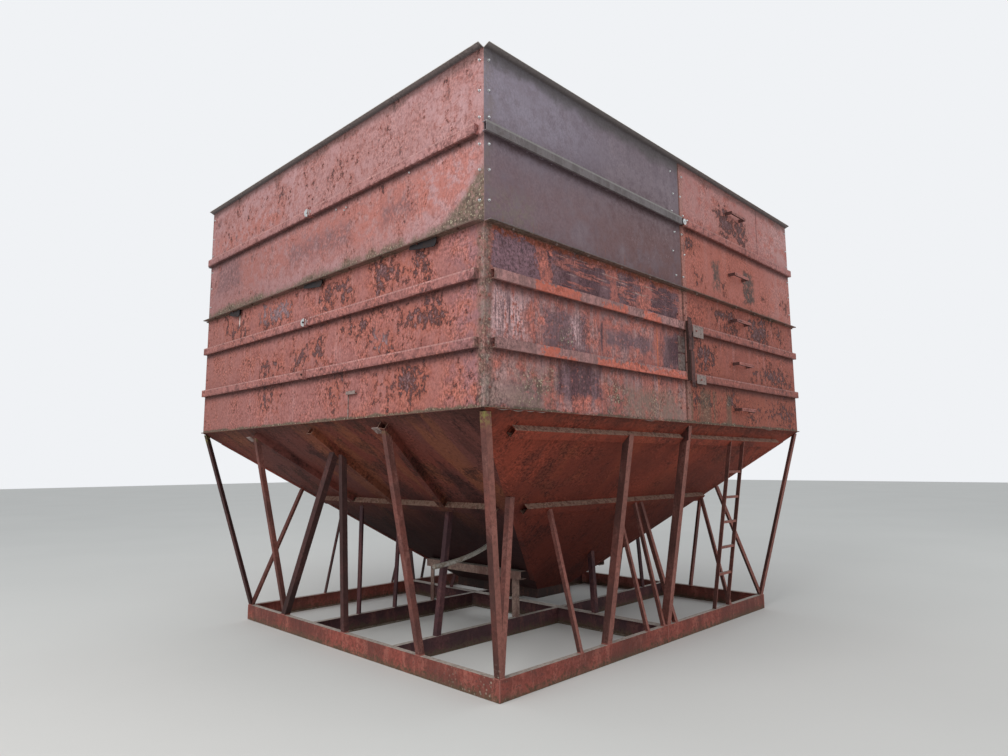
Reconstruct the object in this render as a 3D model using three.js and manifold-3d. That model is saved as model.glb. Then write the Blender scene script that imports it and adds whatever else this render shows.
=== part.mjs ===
// Outdoor grain silo: an open rectangular steel bin with a pyramid hopper, standing on
// raked angle legs over a skid base of channel beams. Millimetres, +Z up.
// The origin is on the ground, under the middle of the bin. Front is -Y, left is -X.
import * as THREE from 'three';
import { mergeVertices } from 'three/addons/utils/BufferGeometryUtils.js';
import Module from 'manifold-3d';

const wasm = await Module();
wasm.setup();

// Driving dimensions
const BIN_WIDTH = 5030;
const BIN_DEPTH = 4350;
const TIER_HEIGHT = 1220;
const BIN_BOTTOM = 1950;
const OUTLET_HALF_W = 260;
const OUTLET_HALF_D = 590;
const OUTLET_Z = 366;
const BASE_WIDTH = 4160;
const BASE_DEPTH = 3720;
const BEAM_HEIGHT = 150;
const SHEET = 4;
const PLATE = 5;
const GAP = 0.3;

// Places worked out from the driving dimensions
const HALF_W = BIN_WIDTH / 2;
const HALF_D = BIN_DEPTH / 2;
const SEAM_Z = BIN_BOTTOM + TIER_HEIGHT;
const RIM_Z = BIN_BOTTOM + 2 * TIER_HEIGHT;
const HOPPER_TOP = BIN_BOTTOM - GAP;
const BASE_X = BASE_WIDTH / 2;
const BASE_Y = BASE_DEPTH / 2;
const FOOT_Z = BEAM_HEIGHT + GAP;

// Edge flanges of the wall sheets
const BOTTOM_FLANGE = 25;
const SEAM_FLANGE = 60;
const RIM_OUT = 50;
const RIM_UP = 18;

// Wall stiffeners: folded channels with open ends, welded to the sheets
const RIB = { width: 70, depth: 40, thick: 5 };
const RIB_ROWS = { upper: [3815], lower: [2825, 2370] };
const RIB_END = 55;
const RIB_BUTT = 12;
const RIB_OVERHANG = 15;
const CORNER_ANGLE = 75;
const ANGLE_THICK = 6;

// Hopper stiffeners
const HOPPER_RIB = { width: 75, depth: 55, thick: 5 };
const UPPER_RIB_AT = 160;
const LOWER_RIB_AT = 975;
const SIDE_RIB_AT = 1195;
const SLOPE_RIB = { start: 60, end: 1147, asideTop: 1040, asideLow: 690 };

// Skid base
const BEAM_FLANGE = 50;
const BEAM_THICK = 6;
const INNER_BEAM_Y = 640;
const CENTRE_X = 40;

// Inner bracing: posts on the inner beams and the low portals
const POST = 50;
const POST_THICK = 6;
const PORTAL_X = 625;
const PORTAL_BEAM = { width: 75, depth: 40, thick: 5 };
const PORTAL_RUN = { front: 740, back: 645 };

// Climbing rungs on the front wall and the ladder under them
const RUNG_BAR = 18;
const RUNG_WIDTH = 320;
const RUNG_OUT = 75;
const RUNG_X = 1110;
const RUNG_ROWS = { upper: [4150, 3500], lower: [3020, 2580, 2120] };
const LADDER_STEPS = [488, 755, 1007, 1255, 1507];

function paint(colour, roughness) {
  return new THREE.MeshStandardMaterial({ color: colour, roughness, metalness: 0.1 });
}

const FADED_RED = paint(0x9c4a3e, 0.8);
const BARE_STEEL = new THREE.MeshStandardMaterial({ color: 0x5a4448, roughness: 0.65, metalness: 0.5 });
const HOPPER_RED = paint(0x74352b, 0.85);
const LEG_RED = paint(0x6e3a32, 0.8);
const BASE_RED = paint(0x8a4138, 0.8);
const DARK_STEEL = paint(0x40302c, 0.85);

const vec = (x, y, z) => new THREE.Vector3(x, y, z);

// Joining closed meshes
function solid(geometry) {
  const bare = geometry.clone();
  bare.deleteAttribute('normal');
  bare.deleteAttribute('uv');
  const merged = mergeVertices(bare, 1e-3);
  return new wasm.Manifold(new wasm.Mesh({
    numProp: 3,
    vertProperties: new Float32Array(merged.attributes.position.array),
    triVerts: new Uint32Array(merged.index.array),
  }));
}

function geometryOf(body) {
  const mesh = body.getMesh();
  const geometry = new THREE.BufferGeometry();
  geometry.setAttribute('position', new THREE.BufferAttribute(mesh.vertProperties, 3));
  geometry.setIndex(new THREE.BufferAttribute(mesh.triVerts, 1));
  geometry.computeVertexNormals();
  return geometry;
}

function fuse(geometries) {
  return geometryOf(geometries.map(solid).reduce((whole, piece) => whole.add(piece)));
}

// Mirror image of a geometry, with its faces still pointing out
function mirrored(geometry, alongX, alongY) {
  const copy = geometry.index ? geometry.toNonIndexed() : geometry.clone();
  copy.scale(alongX, alongY, 1);
  if (alongX * alongY > 0) {
    return copy;
  }
  const p = copy.attributes.position;
  for (let i = 0; i < p.count; i += 3) {
    const a = vec(p.getX(i), p.getY(i), p.getZ(i));
    p.setXYZ(i, p.getX(i + 1), p.getY(i + 1), p.getZ(i + 1));
    p.setXYZ(i + 1, a.x, a.y, a.z);
  }
  return copy;
}

// A face that a bar's end is cut to: all points p with normal . p = level
const level = (z) => ({ normal: vec(0, 0, 1), level: z });

// A straight bar: an outline carried from one point to another. The outline's second
// coordinate runs along "up", its first along up x direction. Ends are cut to planes.
function bar(outline, from, to, up, startPlane, endPlane) {
  const along = to.clone().sub(from).normalize();
  const v = up.clone().addScaledVector(along, -up.dot(along)).normalize();
  const u = v.clone().cross(along);
  const length = from.distanceTo(to);
  const shape = new THREE.Shape(outline.map(([a, b]) => new THREE.Vector2(a, b)));
  const geometry = new THREE.ExtrudeGeometry(shape, { depth: length, bevelEnabled: false });
  const p = geometry.attributes.position;
  for (let i = 0; i < p.count; i += 1) {
    const atStart = p.getZ(i) < length / 2;
    const plane = atStart ? startPlane : endPlane;
    const point = from.clone().addScaledVector(u, p.getX(i)).addScaledVector(v, p.getY(i));
    let slide = atStart ? 0 : length;
    if (plane) {
      slide = (plane.level - plane.normal.dot(point)) / plane.normal.dot(along);
    }
    point.addScaledVector(along, slide);
    p.setXYZ(i, point.x, point.y, point.z);
  }
  geometry.computeVertexNormals();
  return geometry;
}

// Outlines, as points [first, second]
function channelOutline({ width, depth, thick }, sink) {
  const h = width / 2;
  return [
    [sink, -h], [sink, thick - h], [thick - depth, thick - h], [thick - depth, h - thick],
    [sink, h - thick], [sink, h], [-depth, h], [-depth, -h],
  ];
}

function angleOutline(size, thick) {
  return [[0, 0], [size, 0], [size, thick], [thick, thick], [thick, size], [0, size]];
}

function rectangle(x0, y0, x1, y1) {
  return [[x0, y0], [x1, y0], [x1, y1], [x0, y1]];
}

function box(x0, x1, y0, y1, z0, z1) {
  const geometry = new THREE.BoxGeometry(x1 - x0, y1 - y0, z1 - z0);
  geometry.translate((x0 + x1) / 2, (y0 + y1) / 2, (z0 + z1) / 2);
  return geometry;
}

// Wall panels, built facing -Y at a distance from the middle of the bin
const X = vec(1, 0, 0);
const Z = vec(0, 0, 1);

function panelOutline(tier, distance) {
  const inner = SHEET - distance;
  const outer = -distance;
  if (tier === 'lower') {
    const top = SEAM_Z - GAP;
    return [
      [inner, BIN_BOTTOM], [inner, top], [outer - SEAM_FLANGE, top],
      [outer - SEAM_FLANGE, top - SHEET], [outer, top - SHEET], [outer, BIN_BOTTOM + SHEET],
      [outer - BOTTOM_FLANGE, BIN_BOTTOM + SHEET], [outer - BOTTOM_FLANGE, BIN_BOTTOM],
    ];
  }
  return [
    [inner, SEAM_Z], [inner, RIM_Z], [outer - RIM_OUT, RIM_Z + RIM_UP],
    [outer - RIM_OUT, RIM_Z + RIM_UP - SHEET], [outer, RIM_Z - SHEET],
    [outer, SEAM_Z + SHEET], [outer - SEAM_FLANGE, SEAM_Z + SHEET], [outer - SEAM_FLANGE, SEAM_Z],
  ];
}

function wallPanel(tier, distance, x0, x1, ribs, extras = []) {
  const pieces = [bar(panelOutline(tier, distance), vec(x0, 0, 0), vec(x1, 0, 0), Z), ...extras];
  const sink = SHEET / 2;
  for (const z of RIB_ROWS[tier]) {
    for (const [a, b] of ribs) {
      pieces.push(bar(channelOutline(RIB, sink), vec(a, -distance, z), vec(b, -distance, z), Z));
    }
  }
  return fuse(pieces);
}

// Angles inside a side wall's two ends, which the front and back sheets are bolted to
function cornerAngles(tier, distance, run) {
  const [z0, z1] = tier === 'lower' ? [BIN_BOTTOM, SEAM_Z - GAP] : [SEAM_Z, RIM_Z - SHEET];
  const y0 = SHEET / 2 - distance;
  const y1 = SHEET - distance;
  const legs = [];
  for (const end of [-1, 1]) {
    const near = (reach) => [end * (run - reach), end * run].sort((a, b) => a - b);
    const [a0, a1] = near(CORNER_ANGLE);
    const [b0, b1] = near(ANGLE_THICK);
    legs.push(box(a0, a1, y0, y1 + ANGLE_THICK, z0, z1));
    legs.push(box(b0, b1, y0, y1 + CORNER_ANGLE, z0, z1));
  }
  return legs;
}

// A climbing rung: a square bar bent into a U, its two ends on the wall
function rung(z, distance) {
  const h = RUNG_WIDTH / 2;
  const reach = RUNG_OUT;
  const inside = reach - RUNG_BAR;
  const sink = SHEET / 2;
  const shape = new THREE.Shape([
    [-h, sink], [-h, -reach], [h, -reach], [h, sink],
    [h - RUNG_BAR, sink], [h - RUNG_BAR, -inside], [RUNG_BAR - h, -inside], [RUNG_BAR - h, sink],
  ].map(([a, b]) => new THREE.Vector2(a, b)));
  const geometry = new THREE.ExtrudeGeometry(shape, { depth: RUNG_BAR, bevelEnabled: false });
  geometry.translate(RUNG_X, -distance, z - RUNG_BAR / 2);
  return geometry;
}

// Hopper faces. The plate that hangs from the wall at "distance", facing -Y, falls from the
// bin's bottom edge to the outlet's. "low" is where its outer face, carried on, meets y = 0.
function slopeOf(distance, outlet) {
  const rise = (HOPPER_TOP - OUTLET_Z) / (distance - outlet);
  const cos = 1 / Math.hypot(1, rise);
  const thickUp = PLATE / cos;
  return { rise, cos, sin: rise * cos, thickUp, low: OUTLET_Z - rise * outlet - thickUp };
}

const FRONT_SLOPE = slopeOf(HALF_D, OUTLET_HALF_D);
const SIDE_SLOPE = slopeOf(HALF_W, OUTLET_HALF_W);

// Plane parallel to a hopper face and "off" outside it, for the face that looks along
// (sx, sy), one of them zero
function facePlane(slope, sx, sy, off) {
  const normal = vec(sx * slope.sin, sy * slope.sin, -slope.cos);
  return { normal, level: off - slope.cos * slope.low };
}

function hopperPlate(slope, distance, halfRun, outlet, outletRun, ribs) {
  const plan = new THREE.Shape([
    [GAP - halfRun, -distance], [halfRun - GAP, -distance],
    [outletRun - GAP, -outlet], [GAP - outletRun, -outlet],
  ].map(([a, b]) => new THREE.Vector2(a, b)));
  const plate = new THREE.ExtrudeGeometry(plan, { depth: 1, bevelEnabled: false });
  const p = plate.attributes.position;
  for (let i = 0; i < p.count; i += 1) {
    const outer = slope.low - slope.rise * p.getY(i);
    p.setZ(i, outer + (p.getZ(i) > 0.5 ? slope.thickUp : 0));
  }
  const lipEnd = halfRun - 2 * PLATE;
  const lip = box(
    -lipEnd, lipEnd, -distance - BOTTOM_FLANGE, PLATE - distance, HOPPER_TOP - PLATE, HOPPER_TOP,
  );
  return fuse([plate, lip, ...ribs]);
}

// Point on a hopper face's outer side, "down" along its slope from the bin's edge
function onSlope(slope, distance, x, down) {
  const y = -(distance - down * slope.cos);
  return vec(x, y, slope.low - slope.rise * y);
}

const upSlope = (slope) => vec(0, -slope.cos, slope.sin);

function levelRib(slope, distance, down, x0, x1) {
  const from = onSlope(slope, distance, x0, down);
  const to = onSlope(slope, distance, x1, down);
  return bar(channelOutline(HOPPER_RIB, PLATE / 2), from, to, upSlope(slope));
}

// A rib that runs down the slope to the level rib, its ends "aside" from the middle
function slopeRib(slope, distance, asideTop, asideLow) {
  const from = onSlope(slope, distance, asideTop, SLOPE_RIB.start);
  const to = onSlope(slope, distance, asideLow, SLOPE_RIB.end);
  const along = to.clone().sub(from).normalize();
  const inward = vec(0, slope.sin, slope.cos);
  return bar(channelOutline(HOPPER_RIB, PLATE / 2), from, to, along.cross(inward));
}

const quarter = (geometry, turns) => geometry.clone().rotateZ(turns * Math.PI / 2);

const silo = new THREE.Group();

function add(name, geometry, material) {
  const mesh = new THREE.Mesh(geometry, material);
  mesh.name = name;
  silo.add(mesh);
}

// Front and back walls: two bays each, bolted together at the middle
const leftBayRibs = [[RIB_END - HALF_W, -RIB_BUTT]];
const rightBayRibs = [[RIB_BUTT, HALF_W - SHEET]];
const patchRibs = [[-HALF_W - RIB_OVERHANG, -RIB_BUTT]];
const bay = (tier, x0, x1, ribs, extras) => wallPanel(tier, HALF_D, x0, x1, ribs, extras);
const rungs = (tier) => RUNG_ROWS[tier].map((z) => rung(z, HALF_D));

add('front_wall_upper_left', bay('upper', -HALF_W, -GAP / 2, patchRibs), BARE_STEEL);
add('front_wall_lower_left', bay('lower', -HALF_W, -GAP / 2, leftBayRibs), FADED_RED);
add('front_wall_upper_right', bay('upper', GAP / 2, HALF_W, rightBayRibs, rungs('upper')), FADED_RED);
add('front_wall_lower_right', bay('lower', GAP / 2, HALF_W, rightBayRibs, rungs('lower')), FADED_RED);
for (const tier of ['upper', 'lower']) {
  const left = bay(tier, -HALF_W, -GAP / 2, tier === 'upper' ? patchRibs : leftBayRibs);
  const right = bay(tier, GAP / 2, HALF_W, rightBayRibs);
  add(`back_wall_${tier}_left`, mirrored(left, 1, -1), tier === 'upper' ? BARE_STEEL : FADED_RED);
  add(`back_wall_${tier}_right`, mirrored(right, 1, -1), FADED_RED);
}

// Left and right walls: one sheet a tier, their ribs in two halves
const sideRun = HALF_D - SHEET - GAP;
const sideRibs = [[SHEET - sideRun, -RIB_BUTT], [RIB_BUTT, sideRun - RIB_END]];
for (const tier of ['upper', 'lower']) {
  const angles = cornerAngles(tier, HALF_W, sideRun);
  const left = quarter(wallPanel(tier, HALF_W, -sideRun, sideRun, sideRibs, angles), -1);
  add(`left_wall_${tier}`, left, FADED_RED);
  add(`right_wall_${tier}`, mirrored(left, -1, 1), FADED_RED);
}

// Hopper: two level ribs on the front and back faces, three ribs down the slope and one
// level rib on the left and right faces
const UPPER_RIB_RUNS = [[-2180, 5], [140, 2110]];
const LOWER_RIB_END = 1440;
const frontFaceRibs = [
  ...UPPER_RIB_RUNS.map(([a, b]) => levelRib(FRONT_SLOPE, HALF_D, UPPER_RIB_AT, a, b)),
  levelRib(FRONT_SLOPE, HALF_D, LOWER_RIB_AT, -LOWER_RIB_END, LOWER_RIB_END),
];
const hopperFront = hopperPlate(
  FRONT_SLOPE, HALF_D, HALF_W, OUTLET_HALF_D, OUTLET_HALF_W, frontFaceRibs,
);
add('hopper_front', hopperFront, HOPPER_RED);
add('hopper_back', mirrored(hopperFront, 1, -1), HOPPER_RED);

const SIDE_RIB_END = 1290;
const sideFaceRibs = [
  levelRib(SIDE_SLOPE, HALF_W, SIDE_RIB_AT, -SIDE_RIB_END, SIDE_RIB_END),
  ...[-1, 0, 1].map((side) => (
    slopeRib(SIDE_SLOPE, HALF_W, side * SLOPE_RIB.asideTop, side * SLOPE_RIB.asideLow)
  )),
];
const hopperLeft = quarter(
  hopperPlate(SIDE_SLOPE, HALF_W, HALF_D, OUTLET_HALF_W, OUTLET_HALF_D, sideFaceRibs), -1,
);
add('hopper_left', hopperLeft, HOPPER_RED);
add('hopper_right', mirrored(hopperLeft, -1, 1), HOPPER_RED);

// Outlet: a short rectangular collar under the lower edges of the four plates
const outletY = OUTLET_HALF_D - GAP;
const outletX = OUTLET_HALF_W - GAP;
const collarShape = new THREE.Shape(
  rectangle(-outletX, -outletY, outletX, outletY).map(([a, b]) => new THREE.Vector2(a, b)),
);
const mouthX = outletX - PLATE;
const mouthY = outletY - PLATE;
collarShape.holes.push(new THREE.Path(
  rectangle(-mouthX, -mouthY, mouthX, mouthY).reverse().map(([a, b]) => new THREE.Vector2(a, b)),
));
const COLLAR_HEIGHT = 96;
const collar = new THREE.ExtrudeGeometry(collarShape, { depth: COLLAR_HEIGHT, bevelEnabled: false });
collar.translate(0, 0, OUTLET_Z - COLLAR_HEIGHT);
add('outlet_collar', collar, DARK_STEEL);

// Skid base: channel beams, webs out, mitred at the corners
const beamOutline = [
  [0, 0], [BEAM_FLANGE, 0], [BEAM_FLANGE, BEAM_THICK], [BEAM_THICK, BEAM_THICK],
  [BEAM_THICK, BEAM_HEIGHT - BEAM_THICK], [BEAM_FLANGE, BEAM_HEIGHT - BEAM_THICK],
  [BEAM_FLANGE, BEAM_HEIGHT], [0, BEAM_HEIGHT],
];

function edgeBeam(halfRun, distance) {
  const mitre = distance - halfRun + GAP;
  return bar(
    beamOutline, vec(-halfRun, -distance, 0), vec(halfRun, -distance, 0), Z,
    { normal: vec(1, -1, 0), level: mitre }, { normal: vec(1, 1, 0), level: -mitre },
  );
}

const frontBeam = edgeBeam(BASE_X, BASE_Y);
const leftBeam = quarter(edgeBeam(BASE_Y, BASE_X), -1);
add('base_front_beam', frontBeam, BASE_RED);
add('base_back_beam', mirrored(frontBeam, 1, -1), BASE_RED);
add('base_left_beam', leftBeam, BASE_RED);
add('base_right_beam', mirrored(leftBeam, -1, 1), BASE_RED);

// Centre beam: two channels back to back, from the front beam to the back one, with an
// angle post near each end that leans in to the hopper's front or back plate
const centreEnd = BASE_Y - BEAM_FLANGE - GAP;
const centreOutline = [
  [-BEAM_FLANGE, 0], [BEAM_FLANGE, 0], [BEAM_FLANGE, BEAM_THICK], [BEAM_THICK, BEAM_THICK],
  [BEAM_THICK, BEAM_HEIGHT - BEAM_THICK], [BEAM_FLANGE, BEAM_HEIGHT - BEAM_THICK],
  [BEAM_FLANGE, BEAM_HEIGHT], [-BEAM_FLANGE, BEAM_HEIGHT],
  [-BEAM_FLANGE, BEAM_HEIGHT - BEAM_THICK], [-BEAM_THICK, BEAM_HEIGHT - BEAM_THICK],
  [-BEAM_THICK, BEAM_THICK], [-BEAM_FLANGE, BEAM_THICK],
];
const CENTRE_POST = { foot: [40, -1080], top: [155, -955] };
const sink = 2;
const centrePost = bar(
  angleOutline(POST, POST_THICK), vec(...CENTRE_POST.foot, BEAM_HEIGHT),
  vec(...CENTRE_POST.top, FRONT_SLOPE.low - FRONT_SLOPE.rise * CENTRE_POST.top[1]), vec(0, 1, 0),
  level(BEAM_HEIGHT - sink), facePlane(FRONT_SLOPE, 0, -1, GAP),
);
const centreBeam = bar(centreOutline, vec(CENTRE_X, centreEnd, 0), vec(CENTRE_X, -centreEnd, 0), Z);
add('base_centre_beam', fuse([centreBeam, centrePost, mirrored(centrePost, 1, -1)]), BASE_RED);

// Inner beams with the angle posts that stand on them and reach up to the hopper's sides
const innerFrom = BASE_X - BEAM_FLANGE - GAP;
const leftFace = facePlane(SIDE_SLOPE, -1, 0, GAP);
const slopeWeb = facePlane(SIDE_SLOPE, -1, 0, HOPPER_RIB.depth + GAP);

function postOnBeam(footX, topX, end) {
  const topZ = SIDE_SLOPE.low - SIDE_SLOPE.rise * topX;
  const y = -INNER_BEAM_Y + BEAM_THICK;
  return bar(
    angleOutline(POST, POST_THICK), vec(footX, y, BEAM_HEIGHT), vec(topX, y, topZ), vec(0, 1, 0),
    level(BEAM_HEIGHT - sink), end,
  );
}

// Built on the left; "side" is 1 for a beam that stays there, -1 for one mirrored to the right
function innerBeam(posts, side) {
  const innerTo = side * CENTRE_X - BEAM_FLANGE - GAP;
  const beam = bar(beamOutline, vec(-innerFrom, -INNER_BEAM_Y, 0), vec(innerTo, -INNER_BEAM_Y, 0), Z);
  return fuse([beam, ...posts.map(([foot, top, end]) => postOnBeam(foot, top, end))]);
}

const frontPosts = [[-1603, -1464, leftFace]];
const backPosts = [[-1560, -1546, slopeWeb], [-1125, -1085, leftFace]];
for (const [side, sx] of [['left', 1], ['right', -1]]) {
  add(`inner_beam_front_${side}`, mirrored(innerBeam(frontPosts, sx), sx, 1), LEG_RED);
  add(`inner_beam_back_${side}`, mirrored(innerBeam(backPosts, sx), sx, -1), LEG_RED);
}

// Low portals: a channel under the hopper's foot on two angle posts
const portalTop = SIDE_SLOPE.low + SIDE_SLOPE.rise * (PORTAL_X - PORTAL_BEAM.depth) - GAP;
const portalMiddle = portalTop - PORTAL_BEAM.width / 2;
const portalLow = portalTop - PORTAL_BEAM.width;
const postHeel = -PORTAL_X + PORTAL_BEAM.thick;
const portalPostY = INNER_BEAM_Y - BEAM_THICK;
const portalPost = bar(
  angleOutline(POST, POST_THICK), vec(postHeel, -portalPostY, 0), vec(postHeel, -portalPostY, 1),
  vec(0, 1, 0), level(FOOT_Z), level(portalLow + sink),
);
const portal = fuse([
  bar(
    channelOutline(PORTAL_BEAM, PORTAL_BEAM.depth),
    vec(-PORTAL_X, PORTAL_RUN.back, portalMiddle), vec(-PORTAL_X, -PORTAL_RUN.front, portalMiddle), Z,
  ),
  portalPost, mirrored(portalPost, 1, -1),
]);
add('portal_left', portal, LEG_RED);
add('portal_right', mirrored(portal, -1, 1), LEG_RED);

// Corner legs: angles with the heel outwards, from the base's corners to the bin's
const LEG = 52;
const LEG_THICK = 6;
const LEG_INSET = 2;
const legTopInset = LEG_INSET + LEG_THICK + 8;
const legTopZ = FRONT_SLOPE.low + FRONT_SLOPE.rise * (HALF_D - legTopInset) - GAP;
const cornerLeg = bar(
  angleOutline(LEG, LEG_THICK),
  vec(LEG_INSET - BASE_X, LEG_INSET - BASE_Y, FOOT_Z),
  vec(LEG_INSET - HALF_W, LEG_INSET - HALF_D, BIN_BOTTOM), vec(0, 1, 0),
  level(FOOT_Z), level(legTopZ),
);

// Hip legs: from inside each corner leg's foot in to the hopper's corner ridge
const HIP_AT = 0.37;
const HIP_SIZE = 50;
const hipX = -HALF_W + HIP_AT * (HALF_W - OUTLET_HALF_W);
const hipY = -HALF_D + HIP_AT * (HALF_D - OUTLET_HALF_D);
const hipInset = LEG_THICK + HIP_SIZE / 8;
const hipZ = FRONT_SLOPE.low - FRONT_SLOPE.rise * (hipY + hipInset) - GAP;
const hipFoot = LEG_INSET + LEG_THICK + 1;
const hipLeg = bar(
  angleOutline(HIP_SIZE, LEG_THICK),
  vec(hipFoot - BASE_X, hipFoot - BASE_Y, FOOT_Z), vec(hipX, hipY, hipZ), vec(0, 1, 0),
  level(FOOT_Z), level(hipZ),
);

// Corners are named by the sides they join
const CORNERS = [['front_left', 1, 1], ['front_right', -1, 1], ['back_left', 1, -1], ['back_right', -1, -1]];
for (const [where, sx, sy] of CORNERS) {
  add(`corner_leg_${where}`, mirrored(cornerLeg, sx, sy), LEG_RED);
  add(`hip_leg_${where}`, mirrored(hipLeg, sx, sy), LEG_RED);
}

// Legs and braces under the front and back faces. Each is an angle from the edge beam's
// top up to the web of a level rib: [name, foot x, top x, rib, size]. The first two stand
// under the front only.
const ribWeb = facePlane(FRONT_SLOPE, 0, -1, HOPPER_RIB.depth + GAP);
const FACE_LEGS = [
  ['long_leg', -812, -828, UPPER_RIB_AT, 62],
  ['split_brace', 27, 105, LOWER_RIB_AT, 32],
  ['outer_brace', -1173, -1146, LOWER_RIB_AT, 34],
  ['inner_brace_left', -232, -187, LOWER_RIB_AT, 32],
  ['inner_brace_right', 235, 201, LOWER_RIB_AT, 40],
  ['end_brace', 1312, 1400, LOWER_RIB_AT, 32],
];

function faceLeg(footX, topX, down, size) {
  const web = onSlope(FRONT_SLOPE, HALF_D, topX, down);
  web.addScaledVector(ribWeb.normal, HOPPER_RIB.depth);
  const footY = -BASE_Y + 4;
  return bar(
    angleOutline(size, LEG_THICK), vec(footX - size / 2, footY, FOOT_Z),
    vec(topX - size / 2, web.y - size / 2, web.z), vec(0, 1, 0), level(FOOT_Z), ribWeb,
  );
}

// Split leg: an unequal angle beside the joint of the two bays, up to the hopper's lip
const SPLIT_FACE = 62;
const SPLIT_SIDE = 70;
const splitOutline = [
  [0, 0], [SPLIT_FACE, 0], [SPLIT_FACE, LEG_THICK], [LEG_THICK, LEG_THICK],
  [LEG_THICK, SPLIT_SIDE], [0, SPLIT_SIDE],
];
const splitLeg = bar(
  splitOutline, vec(66, 4 - BASE_Y, FOOT_Z), vec(44, 10 - HALF_D, BIN_BOTTOM), vec(0, 1, 0),
  level(FOOT_Z), facePlane(FRONT_SLOPE, 0, -1, GAP),
);

const FRONT_ONLY = 2;
for (const [face, sy, skip] of [['front', 1, 0], ['back', -1, FRONT_ONLY]]) {
  for (const [name, footX, topX, down, size] of FACE_LEGS.slice(skip)) {
    add(`${face}_${name}`, mirrored(faceLeg(footX, topX, down, size), 1, sy), LEG_RED);
  }
  add(`${face}_split_leg`, mirrored(splitLeg, 1, sy), LEG_RED);
}

// Legs under the left and right faces, up to the webs of the ribs that run down the slope:
// [name, foot y, top y, down the slope, size, foot's distance in from the beam's face]
const SIDE_LEGS = [
  ['front_leg', -974, -1042, 120, 50, 4],
  ['centre_post', 74, -95, 400, 50, 4],
  ['rake_brace', 1125, 2, 370, 60, 4],
  ['back_leg', 1160, 1019, 100, 45, 26],
];

function sideLeg(footY, topY, down, size, inset) {
  const x = -(HALF_W - down * SIDE_SLOPE.cos);
  const z = SIDE_SLOPE.low - SIDE_SLOPE.rise * x;
  const webX = x - HOPPER_RIB.depth * SIDE_SLOPE.sin;
  const webZ = z - HOPPER_RIB.depth * SIDE_SLOPE.cos;
  return bar(
    angleOutline(size, LEG_THICK), vec(inset - BASE_X, footY - size / 2, FOOT_Z),
    vec(webX - size / 2, topY - size / 2, webZ), vec(0, 1, 0), level(FOOT_Z), slopeWeb,
  );
}

for (const [side, sx] of [['left', 1], ['right', -1]]) {
  for (const [name, ...places] of SIDE_LEGS) {
    add(`${side}_${name}`, mirrored(sideLeg(...places), sx, 1), LEG_RED);
  }
}

// Ladder from the front beam up to the hopper's upper rib
const RAIL_FEET = [1002, 1287];
const RAIL_LEAN = -52;
const RAIL = [10, 38];
const STEP = 24;

function rail(footX) {
  const web = onSlope(FRONT_SLOPE, HALF_D, footX + RAIL_LEAN, UPPER_RIB_AT);
  web.addScaledVector(ribWeb.normal, HOPPER_RIB.depth);
  const outline = rectangle(-RAIL[0] / 2, -RAIL[1] / 2, RAIL[0] / 2, RAIL[1] / 2);
  const foot = vec(footX, 30 - BASE_Y, FOOT_Z);
  return [bar(outline, foot, web, vec(0, 1, 0), level(FOOT_Z), ribWeb), foot, web];
}

const [railLeft, railFoot, railTop] = rail(RAIL_FEET[0]);
const [railRight] = rail(RAIL_FEET[1]);
const steps = LADDER_STEPS.map((z) => {
  const share = (z - railFoot.z) / (railTop.z - railFoot.z);
  const at = railFoot.clone().lerp(railTop, share);
  const far = at.clone().addScaledVector(X, RAIL_FEET[1] - RAIL_FEET[0]);
  return bar(rectangle(-STEP / 2, -STEP / 2, STEP / 2, STEP / 2), at, far, Z);
});
add('ladder', fuse([railLeft, railRight, ...steps]), LEG_RED);

// Tie bracket over the butt joints of the two lower ribs on the front wall
const TIE = { width: 60, depth: 30, thick: 5 };
const tieFace = -HALF_D - RIB.depth - GAP;
const TIE_REACH = 45;
const tie = bar(
  channelOutline(TIE, 0),
  vec(0, tieFace, RIB_ROWS.lower[1] - TIE_REACH), vec(0, tieFace, RIB_ROWS.lower[0] + TIE_REACH),
  vec(-1, 0, 0),
);
add('split_tie_bracket', tie, DARK_STEEL);

export default silo;
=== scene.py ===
"""Finish for the grain silo: old paint, rust, bolts, clips, plates and the stage around it.

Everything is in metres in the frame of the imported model: the ground is z = 0, the front
wall looks along -Y and the left wall along -X.
"""

import math

import bpy
import numpy as np
from bpy.props import FloatProperty, FloatVectorProperty, IntProperty, PointerProperty
from mathutils import Matrix, Vector


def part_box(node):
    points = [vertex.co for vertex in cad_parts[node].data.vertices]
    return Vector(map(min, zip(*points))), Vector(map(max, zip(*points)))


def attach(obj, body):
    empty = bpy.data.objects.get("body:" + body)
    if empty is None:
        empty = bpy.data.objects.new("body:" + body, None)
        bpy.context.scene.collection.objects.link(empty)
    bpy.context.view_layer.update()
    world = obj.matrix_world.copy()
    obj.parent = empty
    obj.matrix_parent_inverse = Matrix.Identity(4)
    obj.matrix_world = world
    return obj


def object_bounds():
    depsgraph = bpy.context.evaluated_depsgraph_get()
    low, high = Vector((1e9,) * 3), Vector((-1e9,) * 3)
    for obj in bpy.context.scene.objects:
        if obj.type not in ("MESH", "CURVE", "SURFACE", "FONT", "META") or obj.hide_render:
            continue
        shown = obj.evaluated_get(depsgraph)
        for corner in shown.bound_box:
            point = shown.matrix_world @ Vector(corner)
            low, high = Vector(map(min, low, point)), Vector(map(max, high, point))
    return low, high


bl_info = {
    "name": "Grain Silo Finish",
    "version": (1, 0, 0),
    "blender": (4, 5, 0),
    "location": "3D View > Sidebar > Silo",
    "description": "Old paint, rust and ironmongery for the grain silo",
    "category": "Object",
}

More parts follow.
